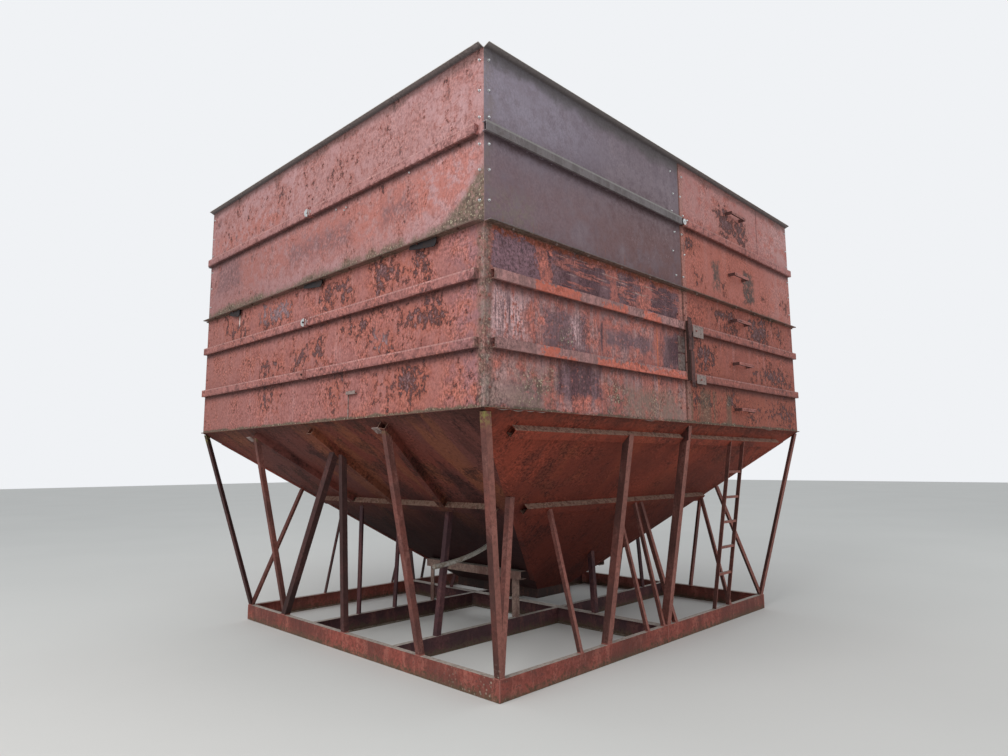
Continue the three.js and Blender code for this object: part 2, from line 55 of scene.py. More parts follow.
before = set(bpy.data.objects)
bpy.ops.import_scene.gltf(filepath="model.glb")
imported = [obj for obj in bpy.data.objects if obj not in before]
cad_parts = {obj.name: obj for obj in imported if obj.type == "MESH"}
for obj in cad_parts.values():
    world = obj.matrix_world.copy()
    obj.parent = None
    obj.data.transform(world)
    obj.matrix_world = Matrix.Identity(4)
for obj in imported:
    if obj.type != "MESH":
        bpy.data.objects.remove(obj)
CAD_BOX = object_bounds()

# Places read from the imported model
FRONT_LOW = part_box("front_wall_lower_left")[0]
SIDE_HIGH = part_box("left_wall_lower")[1]
WALL_X = -FRONT_LOW.x
WALL_Y = SIDE_HIGH.y + 0.0043
BOTTOM_Z = FRONT_LOW.z
SEAM_Z = SIDE_HIGH.z
RIM_Z = SEAM_Z + (SEAM_Z - BOTTOM_Z)

# Sizes that the model and this file share
RIB_ROWS = (3.815, 2.825, 2.37)  # heights of the wall ribs' middles
RIB_OUT = 0.04  # how far a rib stands out from its wall
RIB_END = 0.0583  # from the bin's corner to the end of a side rib
HOPPER_RIB_OUT = 0.055
HOPPER_LOW = 0.366  # height of the outlet
OUTLET = (0.26, 0.59)  # half its width and half its length
RUNG_X = 1.11
RUNG_ROWS = (4.15, 3.5, 3.02, 2.58, 2.12)
WASHER_TOP = 0.003  # of a washer, over what it lies on
MIRROR_X, MIRROR_Y = (-1, 1, 1), (1, -1, 1)


def tone(*rgb):
    """A colour as the photograph shows it, 0 to 255, turned into light: c to the power 2.4."""
    level = np.array(rgb) / 255
    high = ((level + 0.055) / 1.055) ** 2.4
    return tuple(float(v) for v in np.where(level <= 0.04045, level / 12.92, high))


def length(name, about, default):
    return FloatProperty(name=name, description=about, default=default, min=0.0, unit="LENGTH")


def colour(name, about, *rgb):
    return FloatVectorProperty(
        name=name, description=about, default=tone(*rgb), size=3, min=0.0, max=1.0, subtype="COLOR"
    )


def share(name, about):
    return FloatProperty(
        name=name, description=about, default=0.5, min=0.0, max=1.0, subtype="FACTOR"
    )


def angle(name, about, degrees):
    return FloatProperty(
        name=name, description=about, default=math.radians(degrees), subtype="ANGLE"
    )


class SiloSizes(bpy.types.PropertyGroup):
    """Sizes of the small ironmongery."""

    bolt_head: length("Bolt head", "Width of a bolt's hexagon head across its flats", 0.014)
    bolt_height: length("Bolt height", "Height of a bolt's head over its washer", 0.008)
    washer: length("Washer", "Width of the plain washer under a bolt's head", 0.020)
    big_washer: length("Big washer", "Width of the washers where two ribs meet", 0.072)
    bolt_inset: length("Bolt inset", "From the bin's corner to the line of corner bolts", 0.042)
    seam_pitch: length("Seam pitch", "Distance between the bolts under the seam flange", 0.4)
    bead: length("Weld bead", "Width of a weld bead", 0.012)
    pipe: length("Lever pipe", "Outside width of the outlet lever's pipe", 0.042)
    strap: length("Strap", "Width of the straps over the hopper's corner ridges", 0.06)
    plate: length("Plate", "Thickness of the small plates", 0.005)


class SiloColours(bpy.types.PropertyGroup):
    """Colours of the paint, the steel under it and what grows on it."""

    faded_red: colour("Faded red", "Sun-bleached paint, high on the walls", 174, 134, 134)
    warm_red: colour("Warm red", "The same paint where it kept its colour", 172, 98, 78)
    chalk: colour("Chalk", "Pale bloom that rain has drawn down the paint", 200, 158, 156)
    scale: colour("Mill scale", "Dark brown steel where the paint has flaked", 60, 38, 38)
    rust: colour("Rust", "Rusty rim of the flaked places", 146, 74, 56)
    grey_steel: colour("Grey steel", "Sheet that never held paint", 110, 94, 102)
    lichen: colour("Lichen", "Grey-green growth along the seams", 104, 92, 76)
    pale_lichen: colour("Pale lichen", "Whitish specks in the growth", 196, 188, 158)
    hopper_red: colour("Hopper red", "Dark red-brown paint of the hopper", 118, 56, 44)
    leg_red: colour("Leg red", "Brown-red paint of the legs", 118, 70, 62)
    base_red: colour("Base red", "Paint of the skid base", 140, 74, 64)
    zinc: colour("Zinc", "Bright plating of the newer bolts", 214, 216, 216)
    floor: colour("Floor", "The stage's floor", 214, 214, 210)
    backdrop: colour("Backdrop", "What the camera sees over the floor", 240, 242, 245)


class SiloWear(bpy.types.PropertyGroup):
    """How far the weather has gone."""

    peel: share("Peeling", "How much paint has come off the walls")
    streaks: share("Streaks", "How strongly rain has streaked the walls")
    growth: share("Growth", "How far lichen has spread from the seams")
    dents: share("Dents", "How wavy the sheets are")
    seed: IntProperty(name="Seed", description="Which wear the small parts get", default=7)


class SiloStage(bpy.types.PropertyGroup):
    """Camera and light."""

    lens: FloatProperty(
        name="Lens", description="Focal length", default=24.14, min=1.0, unit="CAMERA"
    )
    eye: FloatVectorProperty(
        name="Eye", description="Where the camera stands", default=(-5.465, -5.220, 1.586),
        size=3, subtype="TRANSLATION",
    )
    heading: angle("Heading", "Turn of the view from +X towards +Y", 44.274)
    rise: angle("Rise", "Lift of the view over the horizon", 7.361)
    roll: angle("Roll", "Lean of the view to one side", -0.380)
    sky: FloatProperty(name="Sky", description="Strength of the even light", default=0.72)
    key: FloatProperty(name="Key", description="Strength of the soft box", default=900.0)


# Shader nodes


def wire(node, inputs):
    """Links each input of a node, by name or number, to its term or socket, or sets its value."""
    for key, value in inputs.items():
        value = value.socket if isinstance(value, Term) else value
        if isinstance(value, bpy.types.NodeSocket):
            node.id_data.links.new(value, node.inputs[key])
        else:
            node.inputs[key].default_value = value
    return node


def add_node(tree, kind, inputs=None, **settings):
    """A new shader node of a kind, such as Math for ShaderNodeMath, set and wired."""
    node = tree.nodes.new("ShaderNode" + kind)
    for name, value in settings.items():
        setattr(node, name, value)
    return wire(node, inputs or {})


def worked(what, *values):
    """The term that a Math node makes of terms and numbers."""
    tree = next(value.tree for value in values if isinstance(value, Term))
    return Term(tree, add_node(tree, "Math", dict(enumerate(values)), operation=what).outputs[0])


class Term:
    """A number in a material's node tree. Sums, differences and products of terms make Math
    nodes, so a pattern is written as its formula."""

    def __init__(self, tree, socket):
        self.tree, self.socket = tree, socket

    def __add__(self, other):
        return worked("ADD", self, other)

    def __sub__(self, other):
        return worked("SUBTRACT", self, other)

    def __rsub__(self, other):
        return worked("SUBTRACT", other, self)

    def __mul__(self, other):
        return worked("MULTIPLY", self, other)

    __radd__, __rmul__ = __add__, __mul__

    def size(self):
        """The term without its sign."""
        return worked("ABSOLUTE", self)

    def over(self, other):
        """The larger of the two."""
        return worked("MAXIMUM", self, other)

    def rise(self, low, high):
        """0 up to low, 1 from high on, and a smooth step 3t^2 - 2t^3 between them. With low
        over high it falls instead."""
        ends = (low, high, 0.0, 1.0) if low < high else (high, low, 1.0, 0.0)
        inputs = dict(zip(("From Min", "From Max", "To Min", "To Max"), ends), Value=self)
        node = add_node(self.tree, "MapRange", inputs, interpolation_type="SMOOTHSTEP")
        return Term(self.tree, node.outputs[0])


def paint(value):
    """A colour as a node takes it: a socket as it is, a name from the silo's colours, or red,
    green and blue as the photograph shows them."""
    if isinstance(value, str):
        return (*getattr(bpy.context.scene.silo_colours, value), 1.0)
    return (*tone(*value), 1.0) if isinstance(value, tuple) else value


class Finish:
    """One material under construction: its colour so far, and patterns that read the Object
    coordinates, which are metres in the frame of the model."""

    def __init__(self, name):
        self.material = bpy.data.materials.new(name)
        self.material.use_nodes = True
        self.tree = self.material.node_tree
        self.place = add_node(self.tree, "TexCoord").outputs["Object"]
        self.x, self.y, self.z = self.parts(self.place)
        facing = add_node(self.tree, "NewGeometry").outputs["Normal"]
        self.face_x, self.face_y, self.face_z = self.parts(facing)

    def parts(self, vector):
        """The three numbers of a vector."""
        split = add_node(self.tree, "SeparateXYZ", {0: vector})
        return [Term(self.tree, out) for out in split.outputs]

    def moved(self, stretch, shift):
        """The place stretched along the axes and moved by the shift."""
        inputs = {"Vector": self.place, "Scale": stretch, "Location": shift}
        return add_node(self.tree, "Mapping", inputs).outputs[0]

    def noise(self, scale, detail, rough, stretch=(1, 1, 1), shift=0.0, bend=0.0):
        """Fractal noise about 0.5: octaves of doubling frequency, each "rough" times the last."""
        inputs = {
            "Vector": self.moved(stretch, (shift, shift * 0.7, -shift)),
            "Scale": scale, "Detail": detail, "Roughness": rough, "Distortion": bend,
        }
        return Term(self.tree, add_node(self.tree, "TexNoise", inputs).outputs[0])

    def cells(self, scale, stretch=(1, 1, 1), shift=0.0):
        """Distance to the nearest of scattered points, in cell widths: specks are where it is
        small."""
        inputs = {"Vector": self.moved(stretch, (shift, -shift, shift)), "Scale": scale}
        return Term(self.tree, add_node(self.tree, "TexVoronoi", inputs).outputs["Distance"])

    def mix(self, base, top, amount):
        """The colour top laid over base by amount."""
        inputs = {0: amount, 6: paint(base), 7: paint(top)}
        return add_node(self.tree, "Mix", inputs, data_type="RGBA").outputs[2]

    def lay(self, top, amount):
        """Lays a colour over the finish by amount."""
        self.colour = self.mix(self.colour, top, amount)

    def shade(self, factor):
        """Multiplies the finish by a term, the same in red, green and blue."""
        inputs = {0: self.colour, "Scale": factor}
        self.colour = add_node(self.tree, "VectorMath", inputs, operation="SCALE").outputs[0]

    def close(self, roughness, height, metal=0.0, depth=0.004, gloss=0.28):
        """Hands the colour, roughness, metal share and a bump of the term height, in units of
        depth, to the shader. gloss is how strongly the bare surface mirrors."""
        bump = add_node(self.tree, "Bump", {"Strength": 1.0, "Distance": depth, "Height": height})
        wire(self.tree.nodes["Principled BSDF"], {
            "Base Color": self.colour, "Roughness": roughness, "Metallic": metal,
            "Specular IOR Level": gloss, "Normal": bump.outputs[0],
        })
        return self.material


# Meshes: a part is its points, and its faces as arrays, one for each number of corners


def closed_grid(rows, cols):
    """Faces of a tube of rows by cols points: (i, j) joins (i, j + 1), (i + 1, j + 1) and
    (i + 1, j), the last column joins the first, and one face closes each end."""
    i, j = np.meshgrid(np.arange(rows - 1), np.arange(cols), indexing="ij")
    right, ring = (j + 1) % cols, np.arange(cols)
    quads = np.stack([i * cols + j, i * cols + right, (i + 1) * cols + right, (i + 1) * cols + j])
    return [quads.reshape(4, -1).T, np.stack([ring[::-1], ring + (rows - 1) * cols])]


def circle(count):
    """Points of a circle of radius 1 in equal steps."""
    turn = np.arange(count) * 2 * np.pi / count
    return np.stack([np.cos(turn), np.sin(turn)], axis=1)


def swept(path, outline, up):
    """A solid bar: the closed outline (a, b) carried along the path, at path + a side + b top,
    where side is the path's direction crossed with up and top is square to both."""
    path, outline = np.asarray(path, float), np.asarray(outline, float)
    along = np.gradient(path, axis=0)
    along /= np.linalg.norm(along, axis=1, keepdims=True)
    side = np.cross(along, np.broadcast_to(up, along.shape))
    side /= np.linalg.norm(side, axis=1, keepdims=True)
    a, b = outline[None, :, :1], outline[None, :, 1:]
    points = path[:, None] + a * side[:, None] + b * np.cross(side, along)[:, None]
    return points.reshape(-1, 3), closed_grid(len(path), len(outline))


def carried(path, offsets):
    """A bar of constant cross-section whose corners are path + offset, for offsets given as
    fixed directions."""
    points = np.asarray(path, float)[:, None] + np.asarray(offsets, float)[None]
    return points.reshape(-1, 3), closed_grid(len(path), len(offsets))


def turned(radii, heights, sides):
    """A round or many-sided head: the profile (radius, height) turned about the axis in equal
    steps, with a face over its last ring and one under its first."""
    rings = np.asarray(radii, float)[:, None, None] * circle(sides)[None]
    heights = np.broadcast_to(np.asarray(heights, float)[:, None, None], (len(radii), sides, 1))
    return np.concatenate([rings, heights], axis=2).reshape(-1, 3), closed_grid(len(radii), sides)


def block(centre, u, v, w):
    """A box about a centre: the eight corners centre + or - u + or - v + or - w."""
    u, v, w = (np.asarray(arm, float) for arm in (u, v, w))
    signs = np.array([[-1, -1], [1, -1], [1, 1], [-1, 1]])
    ring = signs[:, :1] * v + signs[:, 1:] * w
    if np.dot(np.cross(v, w), u) < 0:
        ring = ring[::-1]
    return np.concatenate([ring - u, ring + u]) + np.asarray(centre, float), closed_grid(2, 4)


def plate(one, other):
    """A flat plate between two opposite corners: a block about their middle."""
    one, other = np.asarray(one, float), np.asarray(other, float)
    return block((one + other) / 2, *np.diag(np.abs(other - one) / 2))


def joined(parts):
    """Several parts as one: each part's face indices move up by the points before."""
    starts = np.cumsum([0] + [len(points) for points, _ in parts])
    faces = [group + start for (_, groups), start in zip(parts, starts) for group in groups]
    return np.concatenate([points for points, _ in parts]), faces


def mirrored(part, signs):
    """A part times (sx, sy, sz), with its faces turned back where an odd number is negative."""
    points, faces = part
    if signs[0] * signs[1] * signs[2] < 0:
        faces = [group[:, ::-1] for group in faces]
    return points * np.array(signs, float), faces


def both(parts, signs):
    """The parts, and their mirror image."""
    whole = joined(parts)
    return [whole, mirrored(whole, signs)]


def placed(part, at, out, spin):
    """Copies of a part, one at each point of at, its own z axis along the rows of out and turned
    about it by the angles spin: point = at + x a + y b + z out, with a and b square to out."""
    points, faces = part
    at = np.atleast_2d(np.asarray(at, float))
    out = np.broadcast_to(np.asarray(out, float), at.shape)
    out = out / np.linalg.norm(out, axis=1, keepdims=True)
    spare = np.where(np.abs(out[:, 2:]) > 0.9, [[1.0, 0.0, 0.0]], [[0.0, 0.0, 1.0]])
    a = np.cross(spare, out)
    a /= np.linalg.norm(a, axis=1, keepdims=True)
    b = np.cross(out, a)
    spin = np.broadcast_to(spin, (len(at),))[:, None]
    a, b = a * np.cos(spin) + b * np.sin(spin), b * np.cos(spin) - a * np.sin(spin)
    x, y, z = (points[None, :, k, None] for k in range(3))
    copies = at[:, None] + x * a[:, None] + y * b[:, None] + z * out[:, None]
    start = (np.arange(len(at)) * len(points))[:, None, None]
    faces = [(group[None] + start).reshape(-1, group.shape[1]) for group in faces]
    return copies.reshape(-1, 3), faces


def washer_disc(width):
    """A round washer with a chamfered rim."""
    rim = width / 2
    return turned([rim, rim, rim - 0.0015], [-0.001, 0.002, WASHER_TOP], 16)


def bolts(washer, at, out, spin):
    """Bolts at the points of at: a hexagon head with a chamfered crown on a round washer."""
    sizes = bpy.context.scene.silo_sizes
    flat = sizes.bolt_head / 2
    corner = flat / math.cos(math.pi / 6)
    top = WASHER_TOP + sizes.bolt_height
    heights = [WASHER_TOP, top - 0.002, top, top + 0.0006]
    head = turned([corner, corner, flat, flat * 0.35], heights, 6)
    return placed(joined([head, washer_disc(washer)]), at, out, spin)


def bead(start, end):
    """A weld bead: a tube from start to end whose radius swells by a seventh every 9 mm."""
    start, end = np.asarray(start, float), np.asarray(end, float)
    run = np.linalg.norm(end - start)
    t = np.linspace(0, 1, max(5, int(run / 0.003)))
    width = bpy.context.scene.silo_sizes.bead
    radius = width / 2 * (1 + np.sin(t * run / 0.009 * 2 * np.pi) / 7)
    radius[[0, -1]] *= 0.4
    up = (0, 0, 1) if abs(end[2] - start[2]) < 0.5 * run else (1, 0, 0)
    path = start + (end - start) * t[:, None]
    points, faces = swept(path, circle(7), up)
    path = np.repeat(path, 7, axis=0)
    return path + (points - path) * np.repeat(radius, 7)[:, None], faces


def add_piece(name, parts, material, smooth=False, bevel=0.0):
    """Puts parts into the scene as one object at the origin that rides on the silo."""
    points, faces = joined(parts)
    corners = np.concatenate([group.ravel() for group in faces])
    sizes = np.concatenate([np.full(len(group), group.shape[1]) for group in faces])
    mesh = bpy.data.meshes.new(name)
    mesh.vertices.add(len(points))
    mesh.vertices.foreach_set("co", points.ravel())
    mesh.loops.add(len(corners))
    mesh.loops.foreach_set("vertex_index", corners)
    mesh.polygons.add(len(sizes))
    mesh.polygons.foreach_set("loop_start", np.cumsum(sizes) - sizes)
    mesh.update(calc_edges=True)
    if mesh.validate():
        raise RuntimeError(f"{name} has faces that are not sound")
    mesh.polygons.foreach_set("use_smooth", np.full(len(sizes), smooth))
    mesh.materials.append(bpy.data.materials[material])
    piece = bpy.data.objects.new(name, mesh)
    bpy.context.scene.collection.objects.link(piece)
    if bevel:
        edge = piece.modifiers.new("edge", "BEVEL")
        edge.width = bevel
        edge.segments = 2
        edge.limit_method = "ANGLE"
    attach(piece, "root")


def dress(node, material):
    """Puts a material on every slot of a CAD node."""
    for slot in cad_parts[node].material_slots:
        slot.material = material


# Finishes of the walls. Places on a wall are (u0, u1, w0, w1): from u0 to u1 along it, from
# w0 to w1 up it.


class Sheet(Finish):
    """A wall sheet's material, with the fields that its patterns share. u runs along the wall and
    w up it, both pushed about by noise, so that an edge drawn in them tears like old paint."""

    def __init__(self, name, across):
        super().__init__(name)
        end = across == "x"
        self.along, self.out = (self.x, self.y.size()) if end else (self.y, self.x.size())
        self.wall = WALL_Y if end else WALL_X
        self.on_rib = self.out.rise(self.wall + 0.02, self.wall + 0.03)
        self.slow = self.noise(0.8, 3, 0.5, shift=3.1)
        self.mid = self.noise(3.6, 6, 0.62, shift=1.7)
        self.tear = self.noise(10.0, 7, 0.68, shift=11.0)
        self.fine = self.noise(27, 7, 0.7, shift=5.3)
        self.grit = self.noise(58, 4, 0.7, stretch=(1, 1, 0.75))
        self.flake = self.noise(19, 8, 0.74, stretch=(1, 1, 0.8), shift=31.0, bend=0.25)
        self.rain = self.noise(9, 6, 0.66, stretch=(1, 1, 0.1), shift=8.0)
        self.u = self.along + (self.mid - 0.5) * 0.34 + (self.tear - 0.5) * 0.16
        self.w = self.z + (self.tear - 0.5) * 0.24 + (self.slow - 0.5) * 0.1
        self.edge = (self.fine - 0.5) * 0.16

    def patches(self, soft, *places):
        """1 inside any of the torn places: the larger of the two distances past a place's sides,
        plus the fine noise, falls through 0 over soft."""
        whole = None
        for u0, u1, w0, w1 in places:
            du = (self.u - (u0 + u1) / 2).size() - (u1 - u0) / 2
            dw = (self.w - (w0 + w1) / 2).size() - (w1 - w0) / 2
            one = (du.over(dw) + self.edge).rise(soft, -soft)
            whole = whole.over(one) if whole else one
        return whole

    def aged(self, first, second, third):
        """Sun-bleached paint: three tones by a slow and a middling noise, pale rain streaks, a
        rough fine mottle of darker pits."""
        self.colour = self.mix(first, second, (self.slow * 0.5 + self.mid * 0.5).rise(0.42, 0.6))
        self.lay(third, (self.tear * 0.6 + self.fine * 0.4).rise(0.47, 0.6) * 0.75)
        streaks = bpy.context.scene.silo_wear.streaks * 0.5
        self.lay("chalk", self.rain.rise(0.53, 0.68) * streaks)
        self.lay((104, 62, 56), self.fine.rise(0.52, 0.64) * 0.4)
        self.lay((88, 52, 50), self.flake.rise(0.6, 0.68) * 0.45)

    def peel(self, level, force, fresh, *zones):
        """Takes the paint off in a net of small flakes: where the flake noise plus the zones
        passes the level there is brown scale, purple and grey at its heart, with a faint rusty
        halo, and the paint left between flakes in the zones is fresher. Returns the mask."""
        level = level + (0.5 - bpy.context.scene.silo_wear.peel) * 0.1
        field = self.flake * 0.52 + self.fine * 0.14 + self.mid * 0.24 + self.slow * 0.1
        worn = self.patches(0.13, *zones)
        field = field + worn * force
        self.lay("warm_red", worn * self.tear.rise(0.42, 0.56) * fresh)
        gone = field.rise(level - 0.006, level + 0.014)
        heart = field.rise(level + 0.015, level + 0.06)
        self.lay("rust", field.rise(level - 0.05, level) * 0.45)
        steel = self.mix("scale", (96, 68, 72), heart)
        steel = self.mix(steel, (132, 108, 110), heart * self.fine.rise(0.5, 0.6) * 0.6)
        self.lay(steel, gone * 0.86)
        return gone

    def grow(self, amount, pale=0.5):
        """Lichen: grey-green, with whitish and yellowish flecks scattered in it."""
        flecks = self.cells(55, stretch=(1, 1, 0.8), shift=2.0).rise(0.42, 0.22)
        flecks = flecks * self.fine.rise(0.47, 0.56) * pale
        tint = self.mix("lichen", (64, 52, 46), self.fine.rise(0.44, 0.6) * 0.7)
        tint = self.mix(tint, (118, 96, 80), self.tear.rise(0.5, 0.62) * 0.5)
        self.lay(self.mix(tint, "pale_lichen", flecks), amount)

    def rib_wear(self, *rows):
        """Grime and painted shade on the wall just under each rib, a bleached rib face, a painted
        highlight along its top edge and painted shade along its bottom edge, each a band of height
        about the rib's row."""
        self.lay((160, 108, 104), self.on_rib * 0.3)
        scuffed = (self.fine * 0.5 + self.tear * 0.5).rise(0.49, 0.6)
        self.lay((96, 62, 60), self.on_rib * scuffed * 0.55)
        for row in rows:
            # Grime and painted shade in a band on the wall under the rib
            below = (self.z - (row - 0.035)) + (self.fine - 0.5) * 0.05
            grime_and_painted_shade = below.rise(-0.08, -0.004) * below.rise(0.008, 0.0) * (1.0 - self.on_rib)
            self.lay((58, 34, 34), grime_and_painted_shade * 0.7)
            # Painted highlight along the rib's top edge
            painted_top_highlight = (self.z - row - 0.030).size().rise(0.008, 0.004) * self.on_rib
            self.lay((188, 144, 138), painted_top_highlight * 0.4)
            # Painted shade along the rib's bottom edge
            painted_hem_shade = (self.z - row + 0.030).size().rise(0.012, 0.004) * self.on_rib
            self.lay((84, 54, 52), painted_hem_shade * self.fine.rise(0.4, 0.55) * 0.5)

    def rim(self):
        """Grey rim flange: a painted highlight on its outer edge, painted shade underneath, deepest
        where it nears the wall.
        """
        # Painted shade on the underside, deeper towards the wall, and a painted highlight on faces
        # that do not look down
        inward = self.out.rise(self.wall + 0.04, self.wall + 0.01)
        painted_shade_under = self.mix((126, 118, 116), (92, 84, 84), inward)
        lit = self.mix(painted_shade_under, (168, 160, 152), self.face_z.rise(-0.5, 0.0))
        self.lay(lit, self.z.rise(RIM_Z - 0.004, RIM_Z + 0.001))

    def edges(self, seam_high=0.0, foot=0.02):
        """Growth that creeps up from the seam as scallops seam_high over it, grime and painted
        shade under the rim, and growth along the bottom edge as high as foot, each a distance plus
        noise that falls through 0. Returns the scallops."""
        climb = seam_high * (bpy.context.scene.silo_wear.growth * 2)
        over_seam = (self.z - SEAM_Z) + (self.mid - 0.5) * -0.3 + self.edge * 1.1
        scallop = (over_seam * -1.0 + climb).rise(-0.03, 0.05)
        scallop = scallop * self.z.rise(SEAM_Z - 0.02, SEAM_Z)
        self.grow(scallop * (self.fine.rise(0.36, 0.5) * 0.4 + 0.5), 0.7)
        # Grime and painted shade in a band under the rim flange
        grime_and_shade_under_rim = (self.z - RIM_Z) + (self.mid - 0.5) * 0.14
        self.lay((66, 52, 48), grime_and_shade_under_rim.rise(-0.085, -0.03) * 0.5)
        self.rim()
        flange = (self.z - SEAM_Z).size().rise(0.006, 0.004) * (self.grit * 0.4 + 0.6)
        self.lay((84, 72, 62), flange * 0.8)
        lip = (self.z - BOTTOM_Z) + (self.mid - 0.5) * 0.09 + self.edge * 0.3
        self.grow(lip.rise(foot + 0.012, foot - 0.008) * 0.9, 0.8)
        return scallop

    def corner(self, reach):
        """Worn paint beside the near corner, below the seam: lichen and pale flecks within a
        hand's width of the edge."""
        from_corner = (self.along + reach) + (self.tear - 0.5) * 0.1 + self.edge * 0.5
        band = from_corner.rise(0.085, 0.045) * self.z.rise(SEAM_Z + 0.01, SEAM_Z - 0.01)
        self.lay((124, 96, 90), band * 0.6)
        self.grow(band * self.fine.rise(0.46, 0.56) * 0.55, 0.5)
        line = (self.along + reach - 0.02 + (self.tear - 0.5) * 0.06).size().rise(0.03, 0.006)
        self.lay((150, 134, 128), line * self.tear.rise(0.44, 0.56) * band * 0.4)

    def split(self):
        """Pinkish, scratched strip on both sides of the split between the two bays."""
        strip = ((self.along - 0.01).size() + self.edge * 0.7).rise(0.085, 0.06)
        self.lay((170, 122, 112), strip * 0.55)
        line = ((self.along - 0.005).size() + self.edge * 0.2).rise(0.022, 0.010)
        self.lay((96, 56, 46), line * 0.8)

    def finish(self, gone, grain, mottle=0.0, depth=0.004):
        """Closes the sheet: dust on what looks up; scoured steel with runs of rust inside the
        bin; a tone that swings about 1 by grain with the finest noise and by mottle with the
        fine one, more in some places than in others. Flakes lie lower, paint is rough, and the
        sheet has broad shallow dents."""
        self.lay((116, 104, 92), self.face_z.rise(0.5, 0.9) * 0.75)
        scoured = self.mix((132, 104, 94), (108, 78, 68), self.rain.rise(0.42, 0.58))
        scoured = self.mix(scoured, (86, 52, 40), self.flake.rise(0.5, 0.58) * 0.5)
        self.lay(scoured, self.out.rise(self.wall - 0.0012, self.wall - 0.0024))
        pits = (self.grit.rise(0.38, 0.62) - 0.5) * grain
        pits = pits + (self.fine.rise(0.38, 0.62) - 0.5) * mottle
        self.shade(pits * (self.mid.rise(0.42, 0.58) * 0.9 + 0.45) + 1.0)
        dents = self.noise(1.7, 2, 0.4, shift=21.0) * (bpy.context.scene.silo_wear.dents * 12)
        height = self.fine * 0.5 + self.grit * 0.2 + dents - gone * 0.45
        return self.close(self.fine * 0.22 + 0.6, height, depth=depth)


def side_upper_finish():
    """Upper side sheet: pink where it is bleached, smudged purple, long dark specks that thicken
    towards the far end, growth that climbs the near corner."""
    fin = Sheet("side_upper_paint", "y")
    fin.aged("faded_red", (164, 118, 114), (150, 102, 98))
    warm = fin.patches(0.12, (-2.1, 1.5, 3.36, 3.76), (0.6, 2.1, 3.86, 4.08))
    fin.lay((172, 104, 92), warm * fin.tear.rise(0.38, 0.54) * 0.72)
    far = fin.along.rise(-1.9, 1.6)
    fin.lay((138, 92, 88), far * (fin.z.rise(3.88, 3.76) * 0.35 + 0.2))
    smudge = fin.patches(
        0.09, (-1.4, -1.05, 3.44, 3.62), (-0.6, 0.45, 3.4, 3.6), (1.4, 2.0, 3.42, 3.78)
    )
    fin.lay((112, 82, 84), smudge * fin.fine.rise(0.36, 0.54) * 0.7)
    specks = fin.cells(8.5, stretch=(1, 1, 0.55), shift=4.0) + (fin.fine - 0.5) * 0.9
    crowd = (far * 0.10 + fin.mid * 0.5 + fin.z.rise(3.8, 3.95) * 0.05).rise(0.29, 0.38)
    specks = specks.rise(0.21, 0.10) * crowd
    fin.lay((84, 56, 54), specks * 0.75)
    gone = fin.peel(
        0.585, 0.035, 0.12,
        (0.0, 1.9, 3.9, 4.32), (-0.75, -0.3, 3.95, 4.2), (-2.1, -1.7, 3.95, 4.2),
    )
    fin.rib_wear(RIB_ROWS[0])
    near = (fin.y + WALL_Y).rise(0.55, 0.0)
    moss = fin.edges(near * near * 0.32 + 0.088)
    return fin.finish(gone.over(specks) - moss * 0.6, 0.36)


def side_lower_finish():
    """Lower side sheet: orange-red, its paint off in ragged islands row by row, clean towards the
    far end, a chalky corner."""
    fin = Sheet("side_lower_paint", "y")
    fin.aged((160, 104, 98), (164, 98, 84), (138, 84, 80))
    fin.lay((150, 96, 88), fin.along.rise(0.7, 1.9) * 0.6)
    near = (fin.along + WALL_Y).rise(0.5, 0.1) * fin.tear.rise(0.4, 0.58)
    fin.lay((144, 106, 110), near * 0.6)
    gone = fin.peel(
        0.565, 0.082, 0.6,
        (-1.65, -0.95, 2.93, 3.12), (-0.62, -0.18, 2.9, 3.12), (0.3, 0.95, 2.93, 3.12),
        (1.3, 1.75, 2.9, 3.05), (-1.78, -1.25, 2.54, 2.76), (-1.2, -0.85, 2.46, 2.62),
        (-0.9, -0.45, 2.62, 2.74), (-0.25, 0.3, 2.42, 2.66), (0.5, 0.9, 2.45, 2.6),
        (-1.6, -0.95, 2.1, 2.28), (-0.58, -0.28, 2.1, 2.32), (0.55, 0.95, 2.1, 2.28),
    )
    fin.rib_wear(*RIB_ROWS[1:])
    pale = fin.patches(0.03, (0.35, 0.95, 2.95, 3.12), (-1.15, -0.95, 2.46, 2.6))
    fin.lay((138, 112, 116), pale * gone * 0.8)
    drip = ((fin.along - 1.40).size() + fin.edge * 0.1).rise(0.016, 0.006)
    drip = drip * fin.z.rise(2.99, 3.03) * fin.z.rise(3.12, 3.1)
    fin.lay((220, 206, 198), drip * 0.8)
    fin.edges(fin.slow * 0.02)
    fin.corner(WALL_Y)
    return fin.finish(gone, 0.62, 0.1)


